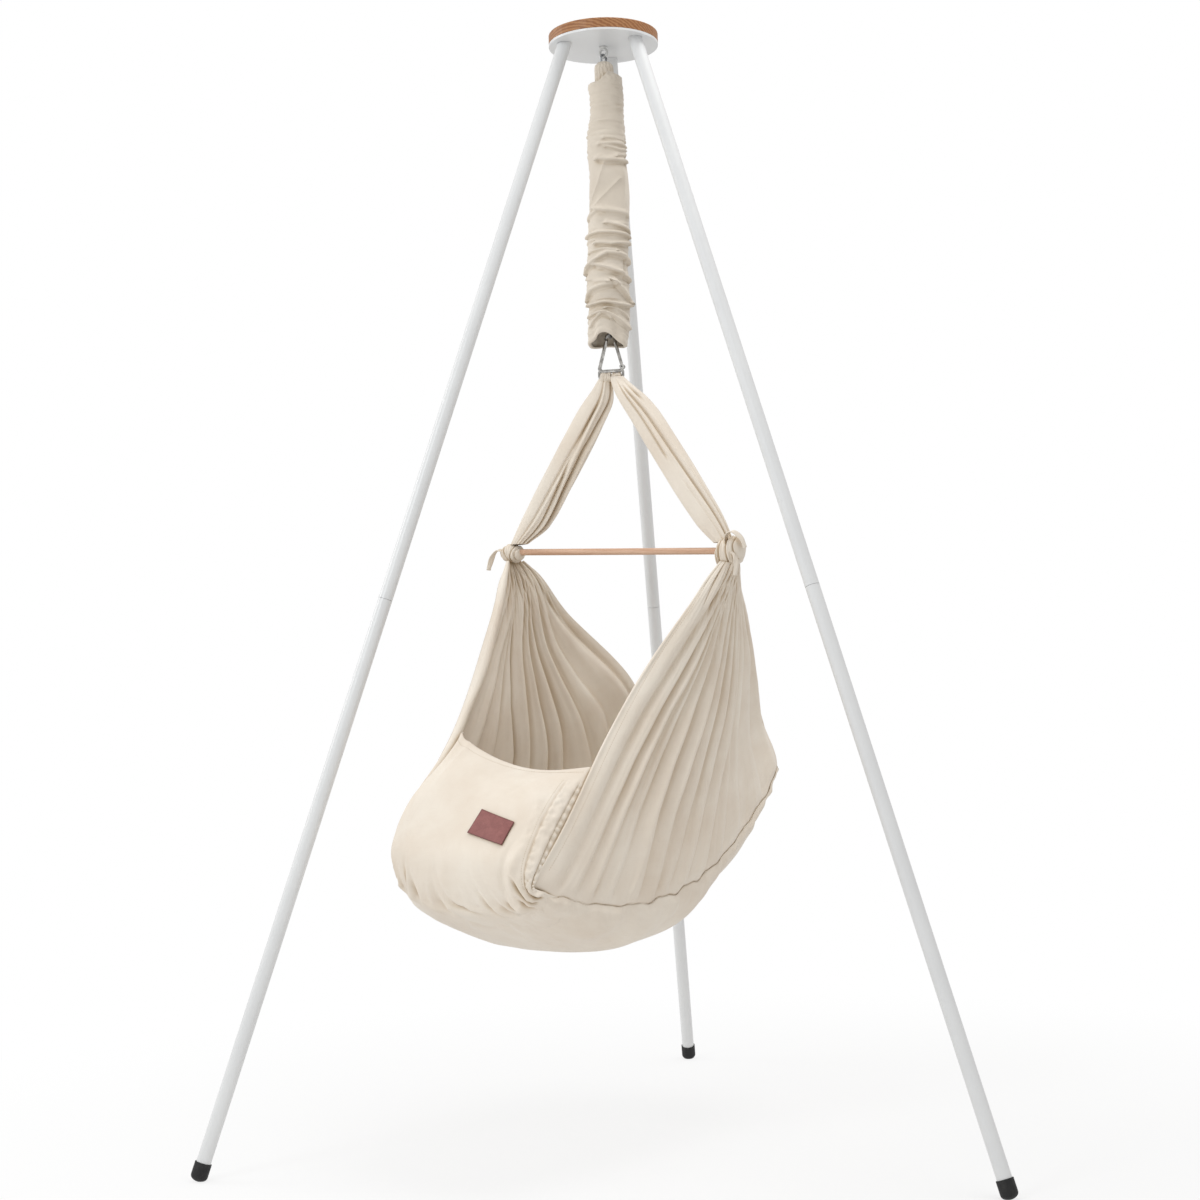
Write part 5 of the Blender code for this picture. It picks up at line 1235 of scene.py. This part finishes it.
def sleeve_creases(angle, down):
    """Height of the sleeve's creases: those that show in the photograph, then some all round."""
    relief = np.zeros_like(angle)
    for points, depth, width, shoulder in SLEEVE_CREASES:
        apart, below = line_distance(angle, down, points)
        lower = below * np.minimum(1.0, apart / width)
        shadow = 0.30 * bell(apart, width) + 0.26 * (1 + lower) * np.exp(-apart / (2.2 * width))
        relief += shoulder * (1 - lower) * bell(apart - 1.6 * width, 2.0 * width) - depth * shadow
    for points, height, width in SLEEVE_RIDGES:
        relief += height * np.exp(-line_distance(angle, down, points)[0] / width)
    rng = np.random.default_rng(207)
    for k in range(46):
        across = wrap(angle - (VIEW_TURN + rng.uniform(0.10, 0.90) * math.pi))
        place = rng.uniform(0.09, 0.49)
        half, tilt = rng.uniform(0.3, 0.8), rng.uniform(-0.012, 0.012)
        apart = np.abs(down - (place + tilt * across / half + 0.004 * np.sin(3 * across + k)))
        depth, width = rng.uniform(0.0014, 0.0034), rng.uniform(0.0024, 0.0040)
        shape = 0.5 * bell(apart - 2 * width, 1.5 * width) - bell(apart, width)
        relief += depth * shape * np.exp(-((across / half) ** 4))
    return relief


def sleeve_radius(angle, down):
    """Radius of the sleeve: a narrow frill on top, then the gathered body down to its hem."""
    facing = np.cos(angle - VIEW_TURN)
    step = 0.024 + 0.016 * ease((0.35 - facing) / 0.9)
    body = 0.0315 + 0.0065 * ease(down / 0.33) - 0.0015 * ease((down - 0.45) / 0.07)
    frill = 0.0165 + 0.0015 * down / 0.04
    slope = np.where(facing > 0.2, 0.012, 0.0035)
    radius = frill + (body - frill) * ease((down - step) / slope + 0.5) - 0.0052 * bell(down, 0.004)
    bulge = smooth_random(*angle.shape, 15, 5, 201, True)
    ripple = smooth_random(*angle.shape, 110, 7, 203, True)
    finer = smooth_random(*angle.shape, 190, 11, 205, True)
    radius += 0.0024 * bulge * ease((down - 0.04) / 0.04)
    radius += (0.0017 * ripple + 0.0009 * finer) * window(down, 0.035, 0.02, 0.150, 0.02)
    radius += (0.0010 * ripple + 0.0004 * finer) * ease((down - 0.28) / 0.03)
    radius += 0.0006 * np.sin(16 * angle + 2 * finer) * (1 - ease((down - 0.03) / 0.02))
    hem = ease((down - 0.492) / 0.012)
    radius += hem * (0.0016 * np.sin(5 * angle + 0.7) + 0.0010 * np.sin(9 * angle + 2.0))
    return radius + sleeve_creases(angle, down)


def make_sleeve():
    """The cotton sleeve, gathered along its length round the spring, with a narrow frill on top."""
    down, angle = field(np.linspace(0.0, 1.0, 420) * (SLEEVE_LONG - 0.006), full_turn(200))
    radius = sleeve_radius(angle, down)
    end = ease((down - 0.47) / 0.05)
    rise = 0.010 * ((1 - np.cos(angle - math.radians(-65.0))) / 2 - 0.55)
    hem_wave = 0.0035 * np.sin(3 * angle + 1.0)
    apart = wrap(angle - math.radians(-62.0))
    lifted = 0.024 * bell(apart, 0.75) - 0.006 * bell(apart - 1.35, 0.5)
    drop = down - (rise * 0.4 + 0.5 * hem_wave) * end - lifted * ease((down - 0.42) / 0.10)
    lean = (0.0035 * np.sin(9.0 * down) + 0.0018 * np.sin(31 * down)) * ease(down / 0.08)
    lean_x, lean_y = turned(lean, 0.0, VIEW_TURN)
    x, y = turned(radius, 0.0, angle)
    point = np.stack([x + lean_x + AXIS, y + lean_y, SLEEVE_TOP - drop], -1)
    hem = []
    for turn in np.linspace(0.5, 3.4, 9):
        scale = (radius[-1] - 0.0028 * (1 - np.cos(turn))) / radius[-1]
        ring = point[-1].copy()
        ring[:, 0] = AXIS + (ring[:, 0] - AXIS) * scale
        ring[:, 1] *= scale
        ring[:, 2] -= 0.0028 * np.sin(turn)
        hem.append(ring)
    point = np.concatenate([point, np.array(hem)], axis=0)
    point[..., 2] = np.maximum(point[..., 2], SLEEVE_END)
    sleeve = grid_object("spring_cover", point, "sleeve_cotton", (0.24, 0.62), 0.0012, None,
                         closed=True, offset=-1.0)
    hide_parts("spring_sleeve")
    bpy.context.view_layer.objects.active = sleeve
    with bpy.context.temp_override(object=sleeve):
        bpy.ops.object.modifier_apply(modifier="thickness")
    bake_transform(sleeve)


make_sleeve()


def make_coil():
    """The spring inside the sleeve: a copy of the CAD coil, in dark steel."""
    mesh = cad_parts["spring_coil"].data.copy()
    mesh.name = "coil"
    dress(mesh, "dark_steel")
    coil = add_object("coil", mesh)
    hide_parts("spring_coil")
    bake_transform(coil)


make_coil()


# Mattress


# How far inside the tub's cloth the mattress stays, and how near a point lies for that to matter
PAD_CLEAR, PAD_NEAR = 0.0045, 0.05
# Share of the CAD mattress that the pad fills before it swells, along each axis
PAD_SHARE = (0.965, 0.975, 0.90)
MOST_SWELL = 0.006
QUILT_PITCH, QUILT_DEEP, QUILT_WIDE = 0.062, 0.0030, 0.006


def read_vectors(mesh, what):
    values = np.zeros(len(mesh.vertices) * 3)
    mesh.vertices.foreach_get(what, values)
    return values.reshape(-1, 3)


def keep_inside(places):
    """Moves points that lie on or outside the tub's cloth to just inside it."""
    rows, columns = tub.shape[:2]
    corners = [(r * columns + c, r * columns + c + 1, (r + 1) * columns + c + 1, (r + 1) * columns + c)
               for r in range(rows - 1) for c in range(columns - 1)]
    cloth = (tub + BAR_CENTRE).reshape(-1, 3)
    tree = BVHTree.FromPolygons(cloth.tolist(), corners)
    middle = np.array((*cloth.mean(0)[:2], cloth[:, 2].max()))
    kept = places.copy()
    for index, place in enumerate(places):
        found, normal, _, far = tree.find_nearest(Vector(place))
        found, normal = np.array(found), np.array(normal)
        if np.dot(normal, found - middle) < 0:
            normal = -normal
        past = np.dot(place - found, normal) + PAD_CLEAR
        if past > 0 and far < PAD_NEAR:
            kept[index] = place - normal * past
    return kept


def swell(pad, before):
    """The pad's points after a short cloth simulation with pressure, none moved far."""
    cloth = pad.modifiers.new("cloth", "CLOTH")
    cloth.settings.quality = 4
    cloth.settings.use_pressure = True
    cloth.settings.uniform_pressure_force = 3.0
    cloth.settings.effector_weights.gravity = 0.0
    cloth.settings.tension_stiffness = 25.0
    cloth.collision_settings.use_collision = False
    cloth.point_cache.frame_start = 1
    cloth.point_cache.frame_end = 16
    for step in range(1, 17):
        bpy.context.scene.frame_set(step)
    swelled = pad.evaluated_get(bpy.context.evaluated_depsgraph_get())
    move = read_vectors(swelled.to_mesh(), "co") - before
    swelled.to_mesh_clear()
    pad.modifiers.remove(cloth)
    bpy.context.scene.frame_set(1)
    far = np.linalg.norm(move, axis=1, keepdims=True)
    return before + move * np.minimum(1.0, MOST_SWELL / np.maximum(far, 1e-9))


def make_mattress():
    """The pad in the tub: swelled by a cloth simulation, then quilted by its stitch lines."""
    pad = add_object("pad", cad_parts["mattress"].data.copy())
    pad.data.name = "pad"
    bpy.context.view_layer.objects.active = pad
    places = read_vectors(pad.data, "co")
    middle = (places.max(0) + places.min(0)) / 2
    places = middle + (places - middle) * PAD_SHARE
    pad.data.vertices.foreach_set("co", places.ravel())
    remesh = pad.modifiers.new("skin", "REMESH")
    remesh.mode = "VOXEL"
    remesh.voxel_size = 0.006
    with bpy.context.temp_override(object=pad):
        bpy.ops.object.modifier_apply(modifier=remesh.name)
    places = read_vectors(pad.data, "co")
    places = swell(pad, places)
    pad.data.vertices.foreach_set("co", places.ravel())
    pad.data.update()
    normals = read_vectors(pad.data, "normal")
    x, y = places[:, 0] - middle[0], places[:, 1] - middle[1]
    quilt = np.zeros_like(x)
    for across in (x + y, x - y):
        to_line = np.abs((across / QUILT_PITCH + 0.5) % 1.0 - 0.5) * QUILT_PITCH
        quilt += QUILT_DEEP * bell(to_line, QUILT_WIDE)
    up = np.clip(normals[:, 2], 0.0, 1.0)
    places = keep_inside(places - normals * (quilt * up)[:, None])
    pad.data.vertices.foreach_set("co", places.ravel())
    dress(pad.data, "quilted_cotton")
    finer = pad.modifiers.new("finer", "SUBSURF")
    finer.levels = finer.render_levels = 1
    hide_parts("mattress")
    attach(pad, "cradle")


make_mattress()


# Floor, backdrop and light


def make_floor():
    """A floor that takes the object's shadow near it and runs out into plain white."""
    look = Look("floor", Base_Color=(0.82, 0.82, 0.82, 1.0), Roughness=0.9)
    seen = look.maths("MAXIMUM", look.node("LightPath", out="Is Camera Ray"),
                      look.node("LightPath", out="Is Glossy Ray"))
    away = look.node("VectorMath", {0: look.node("TexCoord", out="Object")}, "Value", operation="LENGTH")
    spread = look.node("MapRange", {"Value": away, "From Min": 0.35, "From Max": 1.9, "To Min": 0.72,
                                    "To Max": 1.0}, interpolation_type="SMOOTHSTEP")
    look.output("Material Output", look.maths("MULTIPLY", seen, spread), look.shader.outputs[0],
                look.node("Emission"))
    bpy.ops.mesh.primitive_plane_add(size=60.0, location=(0.0, 0.0, -0.0005))
    floor = bpy.context.object
    floor.name = "floor"
    floor.data.materials.append(look.material)


def make_world():
    """Soft light from all round, in front of a plain white backdrop."""
    world = bpy.data.worlds.new("studio")
    bpy.context.scene.world = world
    world.use_nodes = True
    sky = Nodes(world.node_tree)
    fill = sky.tree.nodes["Background"]
    fill.inputs[0].default_value = (1.0, 0.99, 0.975, 1.0)
    fill.inputs[1].default_value = 0.715
    white = sky.node("Background", {0: (1.0, 1.0, 1.0, 1.0)})
    seen = sky.maths("MAXIMUM", sky.node("LightPath", out="Is Camera Ray"),
                     sky.node("LightPath", out="Is Transmission Ray"))
    sky.output("World Output", seen, fill.outputs[0], white)


def area_light(name, place, target, size, power, colour=(1.0, 1.0, 1.0)):
    data = bpy.data.lights.new(name, "AREA")
    data.shape = "DISK"
    data.size = size
    data.energy = power
    data.color = colour
    lamp = add_object(name, data)
    lamp.location = place
    lamp.rotation_euler = (Vector(target) - Vector(place)).to_track_quat("-Z", "Y").to_euler()


make_floor()
make_world()
# Each lamp's place, target, size, power and colour
area_light("key", (AXIS - 0.20, -4.0, 2.8), (AXIS, 0.0, 0.9), 1.3, 38.0, (0.93, 0.97, 1.0))
area_light("top", (AXIS + 0.50, 0.10, 3.4), (AXIS - 0.10, 0.0, 0.7), 1.2, 25.0)
area_light("side", (-3.4, -1.6, 2.4), (AXIS, 0.0, 0.9), 1.8, 30.0)

bpy.context.scene.view_settings.view_transform = "Standard"

# Looks of the CAD's own nodes, by the start of their names
NODE_LOOKS = {
    "white_steel": ("top_plate", "upper_leg_", "lower_leg_"),
    "zinc": ("hanger_link",),
    "pale_zinc": ("eye_bolt",),
    "bare_steel": ("spring_top_eye", "leg_coupler_", "swivel_rod"),
    "dark_steel": ("gate_pin",),
    "polished_steel": ("carabiner_body", "carabiner_gate"),
    "brass": ("swivel_bush",),
    "black_rubber": ("foot_cap_",),
    "oiled_wood": ("wood_disc",),
    "beech": ("spreader_bar",),
}
for look, starts in NODE_LOOKS.items():
    for name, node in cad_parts.items():
        if name.startswith(starts):
            node.data.materials.clear()
            node.data.materials.append(LOOKS[look])
